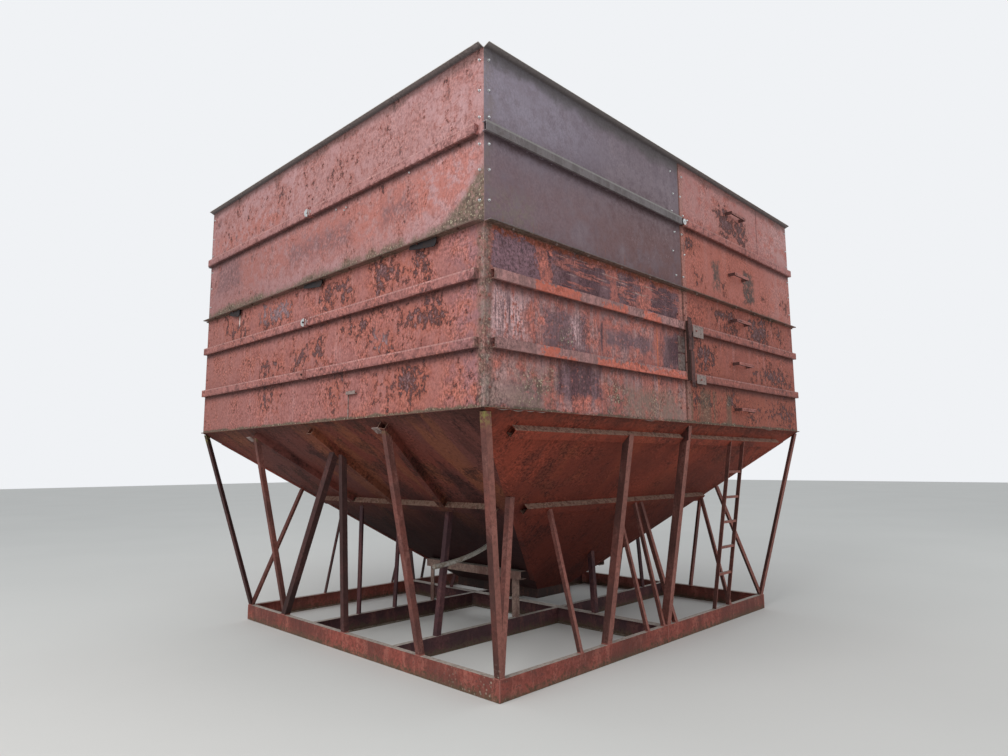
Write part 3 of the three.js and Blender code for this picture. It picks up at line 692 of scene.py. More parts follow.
def worn_finish():
    """Lower left end sheet, the most weathered. In three strips between the ribs: purple scale
    with orange paint left in columns and slanting streaks; a chalky end, then orange and grey
    scale in turn; orange over brown with lichen along the bottom."""
    fin = Sheet("front_worn_paint", "x")
    fin.colour = fin.mix((182, 110, 100), (192, 114, 100), fin.mid.rise(0.44, 0.56))
    fin.lay((132, 84, 78), (fin.tear * 0.5 + fin.fine * 0.5).rise(0.47, 0.58) * 0.7)
    fin.lay((98, 68, 72), fin.flake.rise(0.52, 0.58) * 0.65)
    mauve = fin.rain.rise(0.42, 0.56) * fin.z.rise(2.86, 2.78) * fin.tear.rise(0.4, 0.56)
    fin.lay((176, 144, 144), mauve * 0.6)
    lines = fin.noise(34, 5, 0.7, stretch=(1, 1, 0.05), shift=2.0)
    wisps = fin.noise(9, 7, 0.72, stretch=(0.3, 1, 2.6), shift=14.0)
    steel = fin.mix((94, 66, 73), (126, 96, 102), fin.rain.rise(0.44, 0.6))
    steel = fin.mix(steel, (136, 104, 114), fin.along.rise(-1.86, -2.02) * 0.85)
    steel = fin.mix(steel, (56, 38, 40), fin.fine.rise(0.5, 0.62) * 0.7)

    grey = fin.patches(
        0.03, (-1.92, -1.42, 2.40, 2.7), (-1.22, -0.56, 2.52, 2.63), (-0.36, -0.06, 2.4, 2.72),
        (-2.5, -2.02, 1.95, 2.12),
    )
    fin.lay((120, 92, 97), grey * fin.fine.rise(0.32, 0.48) * 0.95)
    top = fin.patches(
        0.01, (-2.42, -1.97, 2.85, 3.12), (-1.83, -1.17, 2.84, 3.15), (-1.03, -0.69, 2.84, 3.15),
        (-0.55, -0.08, 2.84, 3.12),
    )
    low = fin.patches(
        0.03, (-1.8, -1.3, 2.06, 2.31), (-0.97, -0.9, 2.53, 2.6), (-0.3, -0.1, 2.44, 2.68)
    )
    islands = fin.z.rise(2.8, 2.86) * wisps.rise(0.51, 0.56) * (fin.along.rise(-1.9, -1.7) * 0.8)
    scale = (top * (1.0 - islands)).over(low * fin.fine.rise(0.36, 0.46))
    crack = ((fin.along + 1.262) + (fin.mid - 0.5) * 0.1).size().rise(0.013, 0.006)
    scale = scale.over(crack * fin.z.rise(2.44, 2.47) * fin.z.rise(2.7, 2.66))
    fin.lay(steel, scale * 0.95)

    scratch = fin.noise(7, 4, 0.6, stretch=(0.5, 1, 9), shift=5.0).rise(0.6, 0.63)
    fin.lay((188, 156, 148), scratch * fin.patches(0.05, (-1.75, -0.5, 2.98, 3.14)) * 0.7)
    chalk_end = fin.patches(0.05, (-2.5, -2.1, 2.42, 2.75), (-1.62, -1.5, 2.45, 2.7))
    streaky = lines * 0.5 + fin.fine * 0.5
    fin.lay((210, 172, 172), chalk_end * 0.9 * streaky.rise(0.42, 0.54))
    dashes = (lines * 0.7 + fin.fine * 0.3).rise(0.52, 0.58)
    fin.lay((88, 60, 68), chalk_end * dashes * 0.7)
    fin.lay((92, 66, 64), streaky.rise(0.48, 0.6) * fin.z.rise(2.9, 2.6) * 0.4)
    thread = ((fin.along + 0.455).size() + fin.edge * 0.04).rise(0.010, 0.004)
    fin.lay((206, 112, 74), thread * fin.z.rise(2.8, 2.7) * 0.8)

    drab = fin.patches(0.07, (-0.97, -0.06, 1.93, 2.22), (-2.46, -2.0, 1.95, 2.12))
    damp = (lines * 0.3 + fin.fine * 0.3 + fin.tear * 0.4).rise(0.4, 0.54)
    fin.lay((138, 114, 102), drab * damp * 0.8)
    dusty = fin.patches(0.1, (-2.5, -1.95, 1.98, 2.28)) * fin.tear.rise(0.36, 0.52)
    fin.lay((176, 140, 134), dusty * 0.45)
    moss = fin.patches(
        0.12, (-2.2, -1.9, 2.03, 2.22), (-1.91, -1.83, 2.13, 2.26), (-1.18, -0.95, 1.97, 2.22),
        (-0.55, -0.5, 2.0, 2.16),
    )
    fin.grow(moss * fin.fine.rise(0.42, 0.56) * 0.9, 1.0)
    specks = fin.patches(0.03, (-1.78, -1.6, 2.43, 2.56))
    fin.grow(specks * fin.fine.rise(0.5, 0.56) * 0.9, 1.0)
    crust = ((fin.z - SEAM_Z) + (fin.mid - 0.5) * 0.16).rise(-0.055, -0.03)
    fin.lay((128, 66, 46), crust * fin.fine.rise(0.4, 0.52) * 0.85)

    fin.rib_wear(*RIB_ROWS[1:])
    rib_tone = fin.mix((176, 128, 124), (150, 112, 108), fin.rain.rise(0.44, 0.56))
    rib_tone = fin.mix(rib_tone, (112, 84, 84), fin.fine.rise(0.5, 0.6) * 0.6)
    bright = fin.patches(
        0.006, (-2.12, -1.58, 2.74, 2.86), (-1.28, -0.97, 2.74, 2.85), (-0.66, -0.46, 2.74, 2.86),
        (-2.04, -1.84, 2.29, 2.40), (-1.84, -1.62, 2.29, 2.35), (-1.38, 0.1, 2.29, 2.39),
    )
    rib_tone = fin.mix(rib_tone, (194, 106, 88), bright * (fin.fine.rise(0.6, 0.5) * 0.4 + 0.6))
    fin.lay(rib_tone, fin.on_rib)
    fin.corner(WALL_X)
    fin.split()
    fin.edges(foot=0.012)
    return fin.finish(scale * (1.0 - fin.on_rib), 0.55, 0.35)


def end_upper_finish():
    """Upper right end sheet: faded orange-red, dark ragged places round the rungs, a sheet
    seam beyond them."""
    fin = Sheet("end_upper_paint", "x")
    fin.aged((182, 118, 112), (182, 110, 98), (160, 94, 86))
    fin.lay((180, 102, 84), fin.z.rise(3.8, 3.7) * 0.5)
    pink = (fin.z.rise(3.84, 3.98) + fin.along.rise(1.7, 2.2) * 0.8) * fin.tear.rise(0.36, 0.54)
    fin.lay((190, 142, 138), pink * 0.6)
    gone = fin.peel(
        0.595, 0.115, 0.6,
        (0.8, 1.45, 3.93, 4.17), (0.6, 0.73, 3.32, 3.58), (0.78, 0.92, 3.26, 3.4),
        (1.3, 1.52, 3.26, 3.6), (0.06, 0.28, 3.56, 3.72), (0.3, 0.42, 3.3, 3.4),
        (2.3, 2.5, 3.3, 3.5), (1.8, 1.9, 3.3, 3.42),
    )
    fin.rib_wear(RIB_ROWS[0])
    cool = fin.patches(0.03, (0.58, 0.76, 3.30, 3.6), (1.30, 1.52, 3.28, 3.6))
    ragged = (fin.flake * 0.6 + fin.fine * 0.4).rise(0.43, 0.5)
    fin.lay((98, 80, 74), cool * ragged * 0.85)
    lap = ((fin.along - 1.69) + (fin.mid - 0.5) * 0.012).size().rise(0.011, 0.004)
    fin.lay((104, 60, 54), lap * fin.z.rise(3.82, 3.86) * 0.85)
    fin.split()
    fin.edges(0.012)
    return fin.finish(gone.over(lap * 0.8), 0.4, 0.1)


def end_lower_finish():
    """Lower right end sheet: deeper red-brown, dark islands crowded at the top and along each
    rib, greenish near the split at the bottom."""
    fin = Sheet("end_lower_paint", "x")
    fin.aged((166, 96, 84), (170, 94, 78), (140, 78, 68))
    fin.lay((142, 76, 58), fin.z.rise(2.8, 2.2) * 0.55)
    gone = fin.peel(
        0.575, 0.095, 0.6,
        (0.55, 1.05, 2.98, 3.14), (0.75, 1.1, 2.86, 3.0), (1.35, 1.85, 2.88, 3.14),
        (1.95, 2.25, 2.95, 3.12), (0.2, 0.62, 2.5, 2.7), (0.1, 0.7, 2.41, 2.5),
        (1.35, 2.45, 2.4, 2.62), (0.15, 0.5, 2.1, 2.26), (0.85, 1.0, 2.14, 2.28),
        (1.35, 2.4, 2.02, 2.24),
    )
    fin.rib_wear(*RIB_ROWS[1:])
    drab = fin.patches(0.06, (0.0, 0.95, 1.94, 2.26)) * fin.rain.rise(0.42, 0.52)
    fin.grow(drab * 0.62)
    fin.split()
    fin.edges()
    return fin.finish(gone, 0.6, 0.3)


def bare_finish():
    """Bare sheet: purple-brown scale mixed by slow noise with grey bloom that runs down, bluish
    towards the near end, greener under the rim, maroon low down, a pale corner at the bottom and
    a grey rib with a painted highlight along its top edge."""
    fin = Sheet("bare_sheet", "x")
    fin.colour = fin.mix("grey_steel", (128, 112, 118), fin.slow.rise(0.4, 0.6))
    fin.lay((146, 130, 134), fin.rain.rise(0.5, 0.66) * 0.4)
    fin.lay((92, 72, 78), (fin.tear * 0.5 + fin.fine * 0.5).rise(0.46, 0.6) * 0.6)
    low = fin.z.rise(3.95, 3.4) * (fin.mid.rise(0.36, 0.55) * 0.6 + 0.4)
    fin.lay((116, 82, 80), low * 0.8)
    near = fin.along.rise(-0.6, -2.1) * (fin.z.rise(3.6, 4.0) * 0.6 + 0.4)
    near = near + fin.z.rise(3.85, 4.1) * 0.3
    fin.lay((150, 140, 152), near * (fin.tear.rise(0.38, 0.56) * 0.4 + 0.6) * 0.72)
    corner = fin.patches(0.08, (-2.5, -2.0, 3.17, 3.42), (-2.52, -2.44, 3.2, 4.4))
    fin.lay((130, 116, 108), corner * fin.fine.rise(0.42, 0.56) * 0.6)
    scuffs = fin.noise(9, 3, 0.5, stretch=(1, 1, 0.45), shift=17.0, bend=2.2)
    scuffs = (scuffs - 0.5).size().rise(0.006, 0.002) * fin.patches(0.08, (-0.9, -0.1, 3.35, 3.7))
    fin.lay((160, 140, 142), scuffs * 0.5)
    top = ((fin.z - RIM_Z) + (fin.mid - 0.5) * 0.3).rise(-0.15, -0.02)
    fin.lay((86, 82, 80), top * 0.75)
    drip = fin.noise(30, 4, 0.6, stretch=(1, 1, 0.06), shift=9.0).rise(0.6, 0.66)
    fin.lay((150, 92, 72), drip * fin.z.rise(3.35, 3.2) * 0.5)
    rib_tone = fin.mix((120, 112, 113), (106, 98, 98), fin.rain.rise(0.45, 0.58))
    rib_tone = fin.mix(rib_tone, (96, 84, 82), fin.fine.rise(0.54, 0.62) * 0.5)
    fin.rib_wear(RIB_ROWS[0])
    fin.lay(rib_tone, fin.on_rib * fin.z.rise(4.1, 4.0))
    # Painted highlight along the rib's top edge
    painted_top_highlight = (fin.z - RIB_ROWS[0] - 0.029).size().rise(0.01, 0.005) * fin.on_rib
    fin.lay((150, 146, 142), painted_top_highlight * 0.7)
    fin.rim()
    return fin.finish(0.0, 0.15, depth=0.003)


# Finishes of the hopper, the frame and the ironmongery


def hopper_finish(name, across, tones, banding, shade):
    """Hopper paint: red-brown by slow noise, painted shade below the lower rib, blotches and ochre
    washes, faint streaks drawn down the slope by a noise that is squeezed across it, short dark
    ticks here and there, dust and a painted highlight on the ribs' upper flanges, scoured steel
    inside."""
    fin = Finish(name)
    end = across == "x"
    stretch, tick_stretch = ((1, s, s) if end else (s, 1, s) for s in (0.2, 0.3))
    slow = fin.noise(0.9, 4, 0.55, shift=6.0)
    blotch = fin.noise(2.4, 7, 0.66, shift=3.0, bend=1.2)
    streak = fin.noise(6, 7, 0.7, stretch=stretch, shift=2.0, bend=0.3)
    ticks = fin.noise(26, 3, 0.6, stretch=tick_stretch, shift=9.0)
    fine = fin.noise(26, 8, 0.72)
    bands = fin.noise(2.1, 5, 0.6, stretch=stretch, shift=15.0, bend=0.5)
    fin.colour = fin.mix(tones[0], tones[1], slow.rise(0.42, 0.58))
    fin.lay(tones[3], blotch.rise(0.53, 0.62) * slow.rise(0.52, 0.44) * 0.7)
    fin.lay(tones[3], bands.rise(0.52, 0.6) * banding)
    fin.lay(tones[2], bands.rise(0.47, 0.4) * banding)
    fin.lay(tones[2], (streak * 0.45 + blotch * 0.55).rise(0.5, 0.6) * 0.75)
    fin.lay((52, 28, 26), ticks.rise(0.64, 0.68) * blotch.rise(0.46, 0.54) * 0.8)
    fin.lay((60, 34, 30), fine.rise(0.5, 0.64) * 0.45)
    # Painted shade below the lower rib, as deep as the shade argument
    fin.lay((34, 16, 18), fin.z.rise(1.6, 0.9) * shade)
    fin.lay((64, 40, 34), fin.z.rise(1.84, 1.94) * fine.rise(0.36, 0.55) * 0.6)
    # Dust and a painted highlight on faces that look up, the ribs' upper flanges
    flange = fin.face_z.rise(0.3, 0.7)
    fin.lay(fin.mix((150, 124, 108), (108, 80, 70), fine.rise(0.46, 0.6)), flange * 0.85)
    reach, mouth, place = (WALL_Y, OUTLET[1], fin.y) if end else (WALL_X, OUTLET[0], fin.x)
    slope = (reach - mouth) / (BOTTOM_Z - HOPPER_LOW)
    inside = (fin.z - (HOPPER_LOW - 0.007)) * slope + mouth - place.size()
    scoured = fin.mix((126, 98, 84), (100, 70, 58), (streak * 0.6 + slow * 0.4).rise(0.44, 0.56))
    scoured = fin.mix(scoured, (146, 120, 104), bands.rise(0.5, 0.62) * 0.6)
    fin.lay(scoured, inside.rise(0.0015, 0.0035) * flange)
    grit = fin.noise(48, 4, 0.7)
    pits = (grit.rise(0.38, 0.62) - 0.5) * 0.6 + (fine.rise(0.38, 0.62) - 0.5) * 0.4
    fin.shade(pits * (blotch.rise(0.42, 0.58) + 0.25) + 1.0)
    return fin.close(
        fine * 0.25 + 0.58, fine * 0.6 + streak * 0.4 + blotch * 1.5, depth=0.005, gloss=0.12
    )


def steel_finish(name, tones, dust_and_sheen, painted_face_light_and_shade):
    """Paint on a leg or beam: two reds by noise, a third in streaks along the height, rust where
    a rough noise is high, dust and a painted highlight on faces that look up, soil and lumps near
    the ground, lichen at the near leg's head. Painted light lightens the outward faces of the end
    walls' legs, and painted shade deepens the faces beside them."""
    fin = Finish(name)
    slow = fin.noise(2.2, 4, 0.6, shift=1.0)
    rain = fin.noise(13, 6, 0.66, stretch=(1, 1, 0.2))
    fine = fin.noise(34, 8, 0.72)
    fin.colour = fin.mix(tones[0], tones[1], slow.rise(0.42, 0.58))
    fin.lay(tones[2], (rain * 0.6 + fine * 0.4).rise(0.5, 0.58) * 0.7)
    fin.lay(tones[3], (fine + (slow - 0.5) * 0.4).rise(0.53, 0.6) * 0.7)
    # Painted light on the outward faces of the end walls' legs, painted shade on the faces beside
    # them
    outer = fin.y.size().rise(1.5, 1.7)
    fin.lay((164, 108, 96), outer * fin.face_y.size().rise(0.5, 0.8) * painted_face_light_and_shade)
    painted_side_shade = outer * fin.face_x.size().rise(0.5, 0.8) * fin.x.size().rise(2.36, 2.3)
    fin.shade(painted_side_shade * (painted_face_light_and_shade * -0.9) + 1.0)
    # Dust and a painted highlight on faces that look up
    fin.lay((168, 158, 148), fin.face_z.rise(0.6, 0.95) * dust_and_sheen)
    lichen = fin.z.rise(1.8, 1.9) * (fine.rise(0.45, 0.55) * (fin.x * -1.0).rise(2.3, 2.4))
    fin.lay((124, 120, 66), lichen * 0.7)
    fin.lay((92, 80, 62), (fin.z + (fine - 0.5) * 0.3).rise(0.07, -0.01) * 0.85)
    lumps = fin.cells(34).rise(0.34, 0.16) * slow.rise(0.5, 0.56) * fin.z.rise(0.3, 0.1)
    lumps = lumps * (fin.x + fin.y).rise(-3.2, -3.9)
    fin.lay((168, 158, 140), lumps * 0.7)
    fin.shade(fine.rise(0.38, 0.62) * 0.5 + 0.75)
    height = fine * 0.7 + rain * 0.3 + lumps * 0.5
    return fin.close(fine * 0.25 + 0.55, height, depth=0.003, gloss=0.2)


def zinc_finish():
    """Bright plated steel, dulled by fine noise."""
    fin = Finish("bright_zinc")
    fine = fin.noise(160, 4, 0.6)
    fin.colour = fin.mix("zinc", (150, 148, 146), fine.rise(0.45, 0.7))
    return fin.close(fine * 0.3 + 0.28, fine, 0.85, depth=0.0005)


def iron_finish(name, clean, stained, metal=0.1):
    """Small ironmongery: a clean tone stained by a rough noise, grainier where it is stained."""
    fin = Finish(name)
    fine = fin.noise(34, 8, 0.7, shift=len(name))
    slow = fin.noise(5, 4, 0.6, shift=len(name) * 2.0)
    stain = (fine * 0.6 + slow * 0.4).rise(0.47, 0.6)
    fin.colour = fin.mix(clean, stained, stain)
    fin.lay((150, 146, 134), fin.face_z.rise(0.6, 0.95) * 0.5)
    return fin.close(stain * 0.3 + 0.5, fine, metal, depth=0.0015)


def rung_finish():
    """Worn rung: bleached on its front and top, with painted shade on the faces across the wall and
    underneath.
    """
    fin = Finish("rung_paint")
    fine = fin.noise(30, 8, 0.7)
    fin.colour = fin.mix((186, 128, 122), (140, 92, 84), fine.rise(0.46, 0.6))
    # Painted shade on the faces across the wall
    fin.lay((56, 32, 30), fin.face_x.size().rise(0.5, 0.8) * 0.9)
    # Painted shade underneath
    fin.lay((60, 36, 34), (fin.face_z * -1.0).rise(0.5, 0.8) * 0.8)
    return fin.close(fine * 0.2 + 0.6, fine, depth=0.002)


HOPPER_ENDS = ("hopper_front", "hopper_back")
SHADED_LEGS = (
    "corner_leg_back_left", "corner_leg_back_right", "left_rake_brace", "right_rake_brace",
    "left_centre_post", "right_centre_post", "back_inner_brace_left", "back_inner_brace_right",
    "back_end_brace", "back_outer_brace", "back_split_leg",
)
# Each paint's name, four tones, dust and painted sheen, painted face light and shade, and how the
# names of its nodes begin. The shaded leg paint's tones are painted shade.
STEEL_PAINTS = (
    ("inner_beam_paint", ((84, 52, 54), (72, 48, 52), (104, 68, 64), (48, 34, 34)), 0.9, 0.0,
     ("base_centre_beam", "inner_beam")),
    ("base_paint", ("base_red", (118, 66, 58), (158, 96, 84), (74, 48, 44)), 0.9, 0.0, "base_"),
    ("outlet_steel", ((60, 42, 38), (52, 40, 38), (84, 54, 44), (40, 32, 30)), 0.6, 0.0,
     ("outlet_collar", "split_tie_bracket")),
    ("bleached_beam_paint", ((132, 108, 98), (112, 84, 76), (150, 128, 116), (86, 62, 56)), 0.8,
     0.0, "portal"),
    ("shaded_leg_paint", ((76, 48, 46), (66, 44, 42), (94, 60, 56), (46, 32, 30)), 0.6, 0.0,
     SHADED_LEGS),
    ("leg_paint", ("leg_red", (104, 66, 60), (134, 90, 82), (64, 40, 36)), 0.6, 0.45, ""),
)


class SILO_OT_wall_paint(bpy.types.Operator):
    """Gives each wall sheet its own old paint"""

    bl_idname = "silo.wall_paint"
    bl_label = "Wall Paint"

    def execute(self, context):
        for walls, sheet, material in (
            (("left", "right"), "upper", side_upper_finish()),
            (("left", "right"), "lower", side_lower_finish()),
            (("front", "back"), "upper_left", bare_finish()),
            (("front", "back"), "lower_left", worn_finish()),
            (("front", "back"), "upper_right", end_upper_finish()),
            (("front", "back"), "lower_right", end_lower_finish()),
        ):
            for wall in walls:
                dress(f"{wall}_wall_{sheet}", material)
        return {"FINISHED"}


class SILO_OT_frame_paint(bpy.types.Operator):
    """Paints the hopper, legs, beams, ladder and outlet"""

    bl_idname = "silo.frame_paint"
    bl_label = "Frame Paint"

    def execute(self, context):
        ends = ("hopper_red", (142, 66, 50), (94, 48, 40), (150, 78, 54))
        sides = ((112, 56, 46), (104, 60, 54), (58, 32, 30), (134, 80, 54))
        paints = [
            (HOPPER_ENDS, hopper_finish("hopper_end_paint", "x", ends, 0.2, 0.6)),
            ("hopper", hopper_finish("hopper_side_paint", "y", sides, 0.55, 0.9)),
        ]
        paints += [(starts, steel_finish(*looks)) for *looks, starts in STEEL_PAINTS]
        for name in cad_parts:
            if "wall" not in name:
                dress(name, next(made for starts, made in paints if name.startswith(starts)))
        return {"FINISHED"}


class SILO_OT_metal_finishes(bpy.types.Operator):
    """Makes the finishes of the bolts, plates, rungs and pipe"""

    bl_idname = "silo.metal_finishes"
    bl_label = "Metal Finishes"

    def execute(self, context):
        zinc_finish()
        rung_finish()
        iron_finish("painted_bolts", (156, 102, 94), (120, 82, 74))
        iron_finish("dark_iron", (88, 46, 40), (56, 36, 34))
        iron_finish("black_iron", (36, 30, 32), (52, 40, 38))
        iron_finish("grey_iron", (146, 128, 122), (110, 86, 80), 0.15)
        iron_finish("pale_pipe", (176, 172, 164), (138, 126, 114), 0.4)
        return {"FINISHED"}


# Pieces


def corner_marks():
    """Bolt centres in pairs beside the bin's four corners, six rows to the upper tier and six to
    the lower: arrays of places and of outward directions."""
    rows = np.array([4.31, 4.09, 3.90, 3.71, 3.53, 3.32, 3.07, 2.93, 2.68, 2.52, 2.26, 2.08])
    sx, sy = np.repeat([1, 1, -1, -1], len(rows)), np.repeat([1, -1, 1, -1], len(rows))
    z, inset = np.tile(rows, 4), bpy.context.scene.silo_sizes.bolt_inset
    ends = np.stack([sx * (WALL_X - inset), sy * WALL_Y, z], axis=1)
    sides = np.stack([sx * WALL_X, sy * (WALL_Y - inset), z], axis=1)
    ends_out = np.stack([0 * sx, sy, 0 * sx], axis=1)
    sides_out = np.stack([sx, 0 * sx, 0 * sx], axis=1)
    return np.concatenate([ends, sides]), np.concatenate([ends_out, sides_out])


def split_marks():
    """Bolt centres both sides of the split in the middle of the front and back walls, in
    staggered rows: places and outward directions."""
    rows = np.array([4.265, 4.06, 3.885, 3.695, 3.508, 3.288, 3.05, 2.93, 2.66, 2.5, 2.22, 2.08])
    even = np.arange(len(rows)) % 2 == 0
    x = np.concatenate([np.where(even, -0.138, -0.10), np.where(even, 0.065, 0.026)])
    z = np.concatenate([rows, rows + 0.006])
    at = np.concatenate([np.stack([x, 0 * x + way * WALL_Y, z], axis=1) for way in (-1, 1)])
    return at, np.sign(at) * (0, 1, 0)


class SILO_OT_corner_bolts(bpy.types.Operator):
    """Adds the pairs of bolts beside the bin's corners and beside the split"""

    bl_idname = "silo.corner_bolts"
    bl_label = "Corner and Split Bolts"

    def execute(self, context):
        rng = np.random.default_rng(context.scene.silo_wear.seed)
        at, out = (np.concatenate(two) for two in zip(corner_marks(), split_marks()))
        spin = rng.uniform(0, np.pi, len(at))
        new = at[:, 2] > SEAM_Z
        for name, here, material, slot in (
            ("upper_bolts", new, "bright_zinc", "bare_steel"),
            ("lower_bolts", ~new, "painted_bolts", "faded_red_paint"),
        ):
            whole = bolts(context.scene.silo_sizes.washer, at[here], out[here], spin[here])
            add_piece(name, [whole], material)
        return {"FINISHED"}


class SILO_OT_seam_bolts(bpy.types.Operator):
    """Adds the bolts that hang under the seam flange, all round the bin"""

    bl_idname = "silo.seam_bolts"
    bl_label = "Seam Bolts"

    def execute(self, context):
        sizes = context.scene.silo_sizes
        rng = np.random.default_rng(context.scene.silo_wear.seed + 1)
        places = []
        for reach, across, turn in ((WALL_X, WALL_Y, False), (WALL_Y, WALL_X, True)):
            count = int(2 * reach / sizes.seam_pitch)
            run = (np.arange(count) + 0.5) / count * 2 - 1
            for side in (-1, 1):
                u = run * reach * 0.985 + rng.uniform(-0.03, 0.03, count)
                v = np.full(count, side * (across + 0.038))
                spot = [v, u] if turn else [u, v]
                places.append(np.stack([*spot, np.full(count, SEAM_Z - 0.0045)], axis=1))
        for name, at, material, slot in (
            ("seam_end_bolts", np.concatenate(places[:2]), "grey_iron", "bare_steel"),
            ("seam_side_bolts", np.concatenate(places[2:]), "dark_iron", "faded_red_paint"),
        ):
            spin = rng.uniform(0, np.pi, len(at))
            heads = bolts(sizes.washer * 0.75, at, (0, 0, -1), spin)
            nuts = bolts(sizes.washer * 0.75, at + (0, 0, 0.0082), (0, 0, 1), spin)
            add_piece(name, [heads, nuts], material)
        return {"FINISHED"}


class SILO_OT_rib_joints(bpy.types.Operator):
    """Adds end plates, big washers and bolts where two wall ribs meet"""

    bl_idname = "silo.rib_joints"
    bl_label = "Rib Joints"

    def execute(self, context):
        sizes = context.scene.silo_sizes
        big, half_tall, gap, thick = sizes.big_washer, 0.088 / 2, 0.0125, 0.006
        foot, face, lift = WALL_X - 0.002, WALL_X + RIB_OUT, 0.006
        half_rib, cap_thick, cap_over = 0.0356, 0.003, 0.0008
        plates, bright, dull, studs = [], [], [], []
        stud = turned([0.009, 0.009, 0.007], [0.0025, 0.011, 0.012], 8)
        for z in RIB_ROWS:
            group = bright if z > 2.5 else dull
            for sign in (-1, 1):
                for way in (-1, 1):
                    plates.append(plate(
                        (sign * foot, way * gap, z - half_tall),
                        (sign * (face + 0.012), way * (gap + thick), z + half_tall),
                    ))
                    end = (sign * (WALL_X + RIB_OUT * 0.55), way * (gap + thick), z)
                    group.append(bolts(big * 0.7, end, (0, way, 0), 0.3))
                # The washer on the face leans, so its middle is lifted
                at, lean = (sign * (face + lift), 0.034, z), (sign, -0.2, 0)
                if z > SEAM_Z:
                    group.append(bolts(big, at, lean, 0.5))
                else:
                    group.append(placed(washer_disc(big), at, lean, 0.0))
                    studs.append(placed(stud, at, lean, 0.0))
            for way in (-1, 1):
                stop = way * (WALL_Y - RIB_END)
                cap = plate(
                    (foot, stop, z - half_rib),
                    (face + cap_over, stop + way * cap_thick, z + half_rib),
                )
                plates += both([cap], MIRROR_X)
        # Small stray bolts under the top rib, and a washer with a bolt beside it on the end ribs
        stray = np.array(
            [[1, -1.381, 3.748], [1, -0.536, 3.716], [1, -0.383, 3.738], [1, -0.507, 3.7]]
        )
        for sign in (-1, 1):
            bright.append(
                bolts(sizes.washer * 0.4, stray * (sign * WALL_X, 1, 1), (sign, 0, 0), 0.3)
            )
            at = np.array([0.03, sign * (WALL_Y + RIB_OUT), RIB_ROWS[0]])
            bright.append(bolts(big * 0.8, at, (0, sign, 0), 0.2))
            bright.append(bolts(sizes.washer, at + (0.035, 0, 0.02), (0, sign, 0), 0.6))
        add_piece("rib_end_plates", plates, "side_lower_paint", bevel=0.001)
        add_piece("joint_bolts", bright, "bright_zinc")
        add_piece("joint_studs", studs, "black_iron")
        add_piece("painted_joint_bolts", dull, "painted_bolts")
        return {"FINISHED"}


class SILO_OT_hanging_clips(bpy.types.Operator):
    """Hangs the bent clips under the seam flange of the two side walls"""

    bl_idname = "silo.hanging_clips"
    bl_label = "Hanging Clips"

    def execute(self, context):
        parts, half, top = [], (0.026, 0.0025), SEAM_Z - 0.0043
        outline = np.array([(-1, -1), (1, -1), (1, 1), (-1, 1)]) * half
        t, bend = np.linspace(0, 1, 25), np.linspace(0, 1, 7)[1:]
        for near, far, drop in ((-1.70, -1.43, 0.036), (-0.20, 0.07, 0.036), (1.37, 1.56, 0.046)):
            y = np.append(far + (near - far) * t, np.full(len(bend), near - 0.002))
            z = top - 0.003 - np.append(drop * t**0.8, drop - bend * (drop - 0.001))
            path = np.stack([np.full(len(y), -WALL_X - 0.031), y, z], axis=1)
            parts.append(swept(path, outline, (-1, 0, 0.02)))
            # A dark plate between the strap and the wall fills the clip's hollow: it stands for the
            # shade inside the clip
            parts.append(plate(
                (-WALL_X - 0.012, near + 0.004, top - drop * 0.86),
                (-WALL_X - 0.004, (near + far) / 2, top),
            ))
        add_piece("hanging_clips", both(parts, MIRROR_X), "black_iron")
        return {"FINISHED"}


class SILO_OT_small_plates(bpy.types.Operator):
    """Adds the splice, tie and patch plates on the walls, with their bolts"""

    bl_idname = "silo.small_plates"
    bl_label = "Small Plates"

    def execute(self, context):
        sizes = context.scene.silo_sizes
        rib, wall, side = -(WALL_Y + RIB_OUT), -WALL_Y, -WALL_X
        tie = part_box("split_tie_bracket")[0].y
        # On the front: each plate's left and right, its outer and inner face, its foot and head
        splice, sunk = rib - sizes.plate, 0.001
        for name, material, slot, rows in (
            ("grey_plates", "grey_iron", "bare_steel", (
                (0.095, 0.285, splice, rib + sunk, 2.742, 2.85),
                (0.13, 0.30, splice, rib + sunk, 2.312, 2.395),
                (-0.112, -0.004, wall - 0.007, wall + sunk, 2.58, 2.728),
                (-0.118, -0.008, wall - 0.005, wall + sunk, 2.408, 2.566),
            )),
            ("tie_cover_plates", "dark_iron", "dark_steel", (
                (-0.047, 0.013, tie - 0.0042, tie + 0.002, 2.60, 2.90),
                (-0.014, 0.047, tie - 0.0042, tie + 0.002, 2.27, 2.595),
                (0.026, 0.062, tie + 0.004, tie + 0.012, 2.62, 2.72),
            )),
        ):
            parts = [plate(row[::2], row[1::2]) for row in rows]
            add_piece(name, parts, material, bevel=0.001)
        tabs = [
            plate((side - 0.024, -0.745, 2.146), (side + sunk, -0.62, 2.151)),
            plate((side - 0.024, -0.745, 2.151), (side - 0.019, -0.62, 2.172)),
            plate((side - 0.005, -0.632, BOTTOM_Z + 0.005), (side + sunk, -0.622, 2.146)),
        ]
        add_piece("side_tabs", both(tabs, MIRROR_X), "grey_iron")
        heads = [
            bolts(sizes.washer, (x, splice, z), (0, -1, 0), spin)
            for x, z, spin in ((0.208, 2.352, 0.4), (0.15, 2.80, 0.1))
        ]
        add_piece("plate_bolts", heads, "painted_bolts")
        return {"FINISHED"}


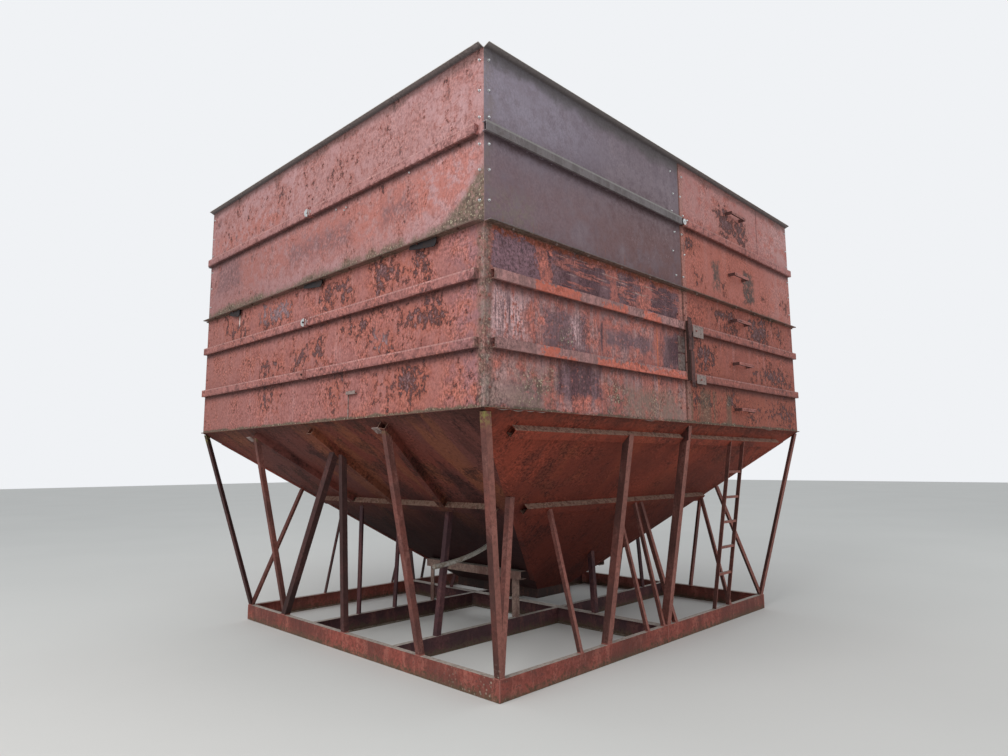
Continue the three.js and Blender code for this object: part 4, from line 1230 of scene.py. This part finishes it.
class SILO_OT_rung_bars(bpy.types.Operator):
    """Sleeves the climbing rungs with the tall flat bars they are bent from"""

    bl_idname = "silo.rung_bars"
    bl_label = "Rung Bars"

    def execute(self, context):
        tip, wall, half_tall = -(abs(CAD_BOX[0][1]) - 0.0006), -WALL_Y - 0.0002, 0.0145
        inside, outside, deep = 0.1405, 0.161, 0.019
        reach, parts = inside - 0.0001, []
        for z in RUNG_ROWS:
            low, high = z - half_tall, z + half_tall
            for side in (-1, 1):
                parts.append(plate(
                    (RUNG_X + side * outside, tip, low), (RUNG_X + side * inside, wall, high)
                ))
            parts.append(plate((RUNG_X - reach, tip, low), (RUNG_X + reach, tip + deep, high)))
        add_piece("rung_bars", parts, "rung_paint", bevel=0.0015)
        return {"FINISHED"}


def hopper_face(way, sink):
    """A face of the hopper, for way 0 the left and for way 1 the front: a point on it, its
    direction down the slope and its outward normal. It falls from the bin's bottom edge to the
    outlet's, sunk by what lies between the sheet's two sides."""
    top, low = np.zeros(3), np.zeros(3)
    top[way], low[way] = -(WALL_X, WALL_Y)[way], -OUTLET[way]
    top[2], low[2] = BOTTOM_Z - sink, HOPPER_LOW - sink
    down = (low - top) / np.linalg.norm(low - top)
    out = np.zeros(3)
    out[way], out[2] = down[2], -down[way]
    return top, down, out


def ridge_strap():
    """An angle lapped over the front left ridge: from the ridge line an arm of the strap's
    width along each face, its outer side a plate's thickness further out."""
    sink, thick = 0.007, 0.004
    top = np.array([-WALL_X, -WALL_Y, BOTTOM_Z - sink])
    low = np.array([-OUTLET[0], -OUTLET[1], HOPPER_LOW - sink])
    along = (low - top) / np.linalg.norm(low - top)
    front, side = hopper_face(1, 0.0075)[2], hopper_face(0, 0.0065)[2]
    arms = [np.cross(front, along), np.cross(side, along)]
    reach = bpy.context.scene.silo_sizes.strap - 0.01
    on_front, on_side = (
        arm * np.sign(arm[way]) / np.linalg.norm(arm) * reach for way, arm in enumerate(arms)
    )
    crown = (front + side) * thick / (1 + np.dot(front, side))
    offsets = np.array([
        0 * along, on_front, on_front + front * thick, crown, on_side + side * thick, on_side,
    ])
    if np.dot(np.cross(offsets[1] - offsets[2], offsets[3] - offsets[2]), along) < 0:
        offsets = offsets[::-1]
    return carried(top + (low - top) * np.linspace(0.07, 0.93, 12)[:, None], offsets)


class SILO_OT_hopper_straps(bpy.types.Operator):
    """Laps the angle straps over the hopper's four corner ridges and caps the side legs"""

    bl_idname = "silo.hopper_straps"
    bl_label = "Hopper Straps and Caps"

    def execute(self, context):
        straps = both(both([ridge_strap()], MIRROR_X), MIRROR_Y)
        add_piece("ridge_straps", straps, "hopper_end_paint")
        # Each cap lies on the side ribs over a leg's head, its middle at x down the slope
        x, half_along, half_down, half_thick = -2.452, 0.042, 0.034, 0.003
        top, down, out = hopper_face(0, 0.0065)
        middle = top + down * (x - top[0]) / down[0] + out * (HOPPER_RIB_OUT + half_thick)
        caps = [
            block(middle + (0, y, 0), (0, half_along, 0), down * half_down, out * half_thick)
            for y in (-0.985, 1.10)
        ]
        add_piece("leg_caps", both(caps, MIRROR_X), "grey_iron")
        return {"FINISHED"}


class SILO_OT_split_gussets(bpy.types.Operator):
    """Adds the gusset and the hook at the top of the split legs"""

    bl_idname = "silo.split_gussets"
    bl_label = "Split Leg Gussets"

    def execute(self, context):
        outline = np.array([[-2.152, 1.80], [-2.10, 1.78], [-2.06, 1.83], [-2.163, 1.932]])
        path = np.stack([[0.043, 0.049], [0, 0], [0, 0]], axis=1)
        gusset = carried(path, np.column_stack([np.zeros(len(outline)), outline]))
        turn = np.linspace(0.1, 1.25, 22) * np.pi
        across, y, up = 0.122 + 0.03 * np.cos(turn), -2.128 + 0 * turn, 1.878 - 0.034 * np.sin(turn)
        hook = swept(np.stack([across, y, up], axis=1), circle(8) * 0.0065, (0, 1, 0))
        add_piece("split_gussets", both([gusset, hook], MIRROR_Y), "dark_iron")
        return {"FINISHED"}


class SILO_OT_outlet_lever(bpy.types.Operator):
    """Adds the light grey pipe that runs from the inner post to the hopper's side"""

    bl_idname = "silo.outlet_lever"
    bl_label = "Outlet Lever"

    def execute(self, context):
        # The pipe's axis is the cubic through four knots, timed by the distance between them
        knots = np.array([
            [-1.655, -0.655, 0.73], [-1.40, -0.655, 0.755], [-1.19, -0.653, 0.795],
            [-0.995, -0.65, 0.858],
        ])
        steps = np.linalg.norm(np.diff(knots, axis=0), axis=1)
        t = np.concatenate([[0], np.cumsum(steps)]) / steps.sum()
        curve = np.polynomial.polynomial.polyfit(t, knots, 3)
        path = np.polynomial.polynomial.polyval(np.linspace(0, 1, 48), curve).T
        pipe = swept(path, circle(14) * context.scene.silo_sizes.pipe / 2, (0, 0, 1))
        add_piece("outlet_lever", [pipe], "pale_pipe", smooth=True)
        return {"FINISHED"}


class SILO_OT_edge_curls(bpy.types.Operator):
    """Adds the rusted slivers that curl under the bin's bottom edge near the front corner"""

    bl_idname = "silo.edge_curls"
    bl_label = "Edge Curls"

    def execute(self, context):
        parts, t = [], np.linspace(0, 1, 40)
        outline = np.array([(-1, -1), (1, -1), (1, 1), (-1, 1)]) * (0.008, 0.0009)
        for start, end, drop, turns in (
            (-2.46, -2.31, 0.008, 1), (-2.33, -2.16, 0.010, 1), (-2.18, -1.95, 0.007, 2),
            (-0.75, -0.55, 0.006, 1), (1.55, 1.8, 0.007, 1),
        ):
            dip = np.sin(np.pi * turns * t) ** 2
            x, y = start + (end - start) * t, -(WALL_Y + 0.016 + 0.006 * dip)
            path = np.stack([x, y, BOTTOM_Z - 0.001 - drop * dip], axis=1)
            parts.append(swept(path, outline, (0, -0.5, 1)))
        add_piece("edge_curls", parts, "grey_iron")
        return {"FINISHED"}


def foot_beads(name, floor):
    """Beads along the two outer faces of an angle's foot. The heel is the corner of the foot's
    box that lies across from the one with no metal in it."""
    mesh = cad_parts[name].data
    points = np.zeros(len(mesh.vertices) * 3)
    mesh.vertices.foreach_get("co", points)
    points = points.reshape(-1, 3)
    foot = points[points[:, 2] < floor + 0.004, :2]
    low, high = foot.min(0), foot.max(0)
    corners = np.array([low, (high[0], low[1]), high, (low[0], high[1])])
    bare = np.linalg.norm(corners[:, None] - foot[None], axis=2).min(axis=1).argmax()
    one, heel, two = (np.append(corners[(bare + k) % 4], floor + 0.002) for k in (1, 2, 3))
    return [bead(one, heel), bead(heel, two)]


class SILO_OT_welds(bpy.types.Operator):
    """Runs weld beads down the base's joints and round the feet of the legs"""

    bl_idname = "silo.welds"
    bl_label = "Welds"

    def execute(self, context):
        low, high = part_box("base_front_beam")
        joints = [(x, y) for y in (low.y, -low.y) for x in (0.07, low.x, -low.x)]
        parts = [bead((x, y, 0.004), (x, y, high.z)) for x, y in joints]
        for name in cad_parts:
            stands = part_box(name)[0].z <= high.z + 0.001
            if stands and any(kind in name for kind in ("leg", "brace", "post")):
                parts += foot_beads(name, high.z)
        add_piece("weld_beads", parts, "base_paint", smooth=True)
        return {"FINISHED"}


class SILO_OT_stage(bpy.types.Operator):
    """Sets up the camera, the floor and the soft light"""

    bl_idname = "silo.stage"
    bl_label = "Stage"

    def execute(self, context):
        scene, stage = context.scene, context.scene.silo_stage
        cam = bpy.data.cameras.new("view")
        cam.lens = stage.lens
        cam.sensor_width = 36.0
        cam.clip_end = 200.0
        holder = bpy.data.objects.new("view", cam)
        scene.collection.objects.link(holder)
        yaw, pitch, roll = stage.heading, stage.rise, stage.roll
        level = Vector((math.cos(yaw), math.sin(yaw), 0.0)) * math.cos(pitch)
        ahead = level + Vector((0.0, 0.0, math.sin(pitch)))
        right = Vector((math.sin(yaw), -math.cos(yaw), 0.0))
        up = right.cross(ahead)
        side = math.cos(roll) * right + math.sin(roll) * up
        top = -math.sin(roll) * right + math.cos(roll) * up
        turn = Matrix((side, top, -ahead)).transposed().to_4x4()
        holder.matrix_world = Matrix.Translation(stage.eye) @ turn
        scene.camera = holder

        reach, depth = 60.0, 0.001
        verts = [(x * reach, y * reach, -depth) for x, y in ((-1, -1), (1, -1), (1, 1), (-1, 1))]
        mesh = bpy.data.meshes.new("floor")
        mesh.from_pydata(verts, [], [[0, 1, 2, 3]])
        floor = bpy.data.objects.new("floor", mesh)
        scene.collection.objects.link(floor)
        fin = Finish("pale_floor")
        soft = fin.noise(0.4, 3, 0.5)
        fin.colour = fin.mix("floor", (206, 206, 202), soft)
        mesh.materials.append(fin.close(0.9, soft, depth=0.001))

        # The camera sees a paler sky than the one that lights the silo
        scene.world = bpy.data.worlds.new("sky")
        scene.world.use_nodes = True
        tree = scene.world.node_tree
        sky = {"Color": (0.93, 0.96, 1.0, 1.0), "Strength": stage.sky}
        even = wire(tree.nodes["Background"], sky)
        seen = add_node(tree, "Background", {"Color": paint("backdrop")})
        ray = add_node(tree, "LightPath").outputs["Is Camera Ray"]
        choice = add_node(tree, "MixShader", {0: ray, 1: even.outputs[0], 2: seen.outputs[0]})
        wire(tree.nodes["World Output"], {"Surface": choice.outputs[0]})
        for name, place, power, size in (
            ("soft_key", (-11.0, -3.0, 9.5), stage.key, 8.0),
            ("soft_fill", (9.0, -10.0, 7.0), stage.key * 0.16, 9.0),
        ):
            light = bpy.data.lights.new(name, "AREA")
            light.energy = power
            light.size = size
            lamp = bpy.data.objects.new(name, light)
            lamp.location = place
            aim = Vector((0.0, 0.0, 2.2)) - Vector(place)
            lamp.rotation_euler = aim.to_track_quat("-Z", "Y").to_euler()
            scene.collection.objects.link(lamp)
        scene.view_settings.view_transform = "Standard"
        return {"FINISHED"}


OPERATORS = (
    SILO_OT_wall_paint,
    SILO_OT_frame_paint,
    SILO_OT_metal_finishes,
    SILO_OT_corner_bolts,
    SILO_OT_seam_bolts,
    SILO_OT_rib_joints,
    SILO_OT_hanging_clips,
    SILO_OT_small_plates,
    SILO_OT_rung_bars,
    SILO_OT_hopper_straps,
    SILO_OT_split_gussets,
    SILO_OT_outlet_lever,
    SILO_OT_edge_curls,
    SILO_OT_welds,
    SILO_OT_stage,
)
GROUPS = {
    "silo_sizes": SiloSizes,
    "silo_colours": SiloColours,
    "silo_wear": SiloWear,
    "silo_stage": SiloStage,
}


class SILO_PT_finish(bpy.types.Panel):
    """Lists the silo's sizes, colours and pieces"""

    bl_label = "Grain Silo"
    bl_idname = "SILO_PT_finish"
    bl_space_type = "VIEW_3D"
    bl_region_type = "UI"
    bl_category = "Silo"

    def draw(self, context):
        for name, group in GROUPS.items():
            box = self.layout.box()
            for key in group.__annotations__:
                box.prop(getattr(context.scene, name), key)
        for operator in OPERATORS:
            self.layout.operator(operator.bl_idname)


CLASSES = (*GROUPS.values(), *OPERATORS, SILO_PT_finish)


def register():
    for kind in CLASSES:
        bpy.utils.register_class(kind)
    for name, group in GROUPS.items():
        setattr(bpy.types.Scene, name, PointerProperty(type=group))


def unregister():
    for name in GROUPS:
        delattr(bpy.types.Scene, name)
    for kind in reversed(CLASSES):
        bpy.utils.unregister_class(kind)


def main():
    register()
    for operator in OPERATORS:
        area, name = operator.bl_idname.split(".")
        getattr(getattr(bpy.ops, area), name)()


if __name__ == "__main__":
    main()
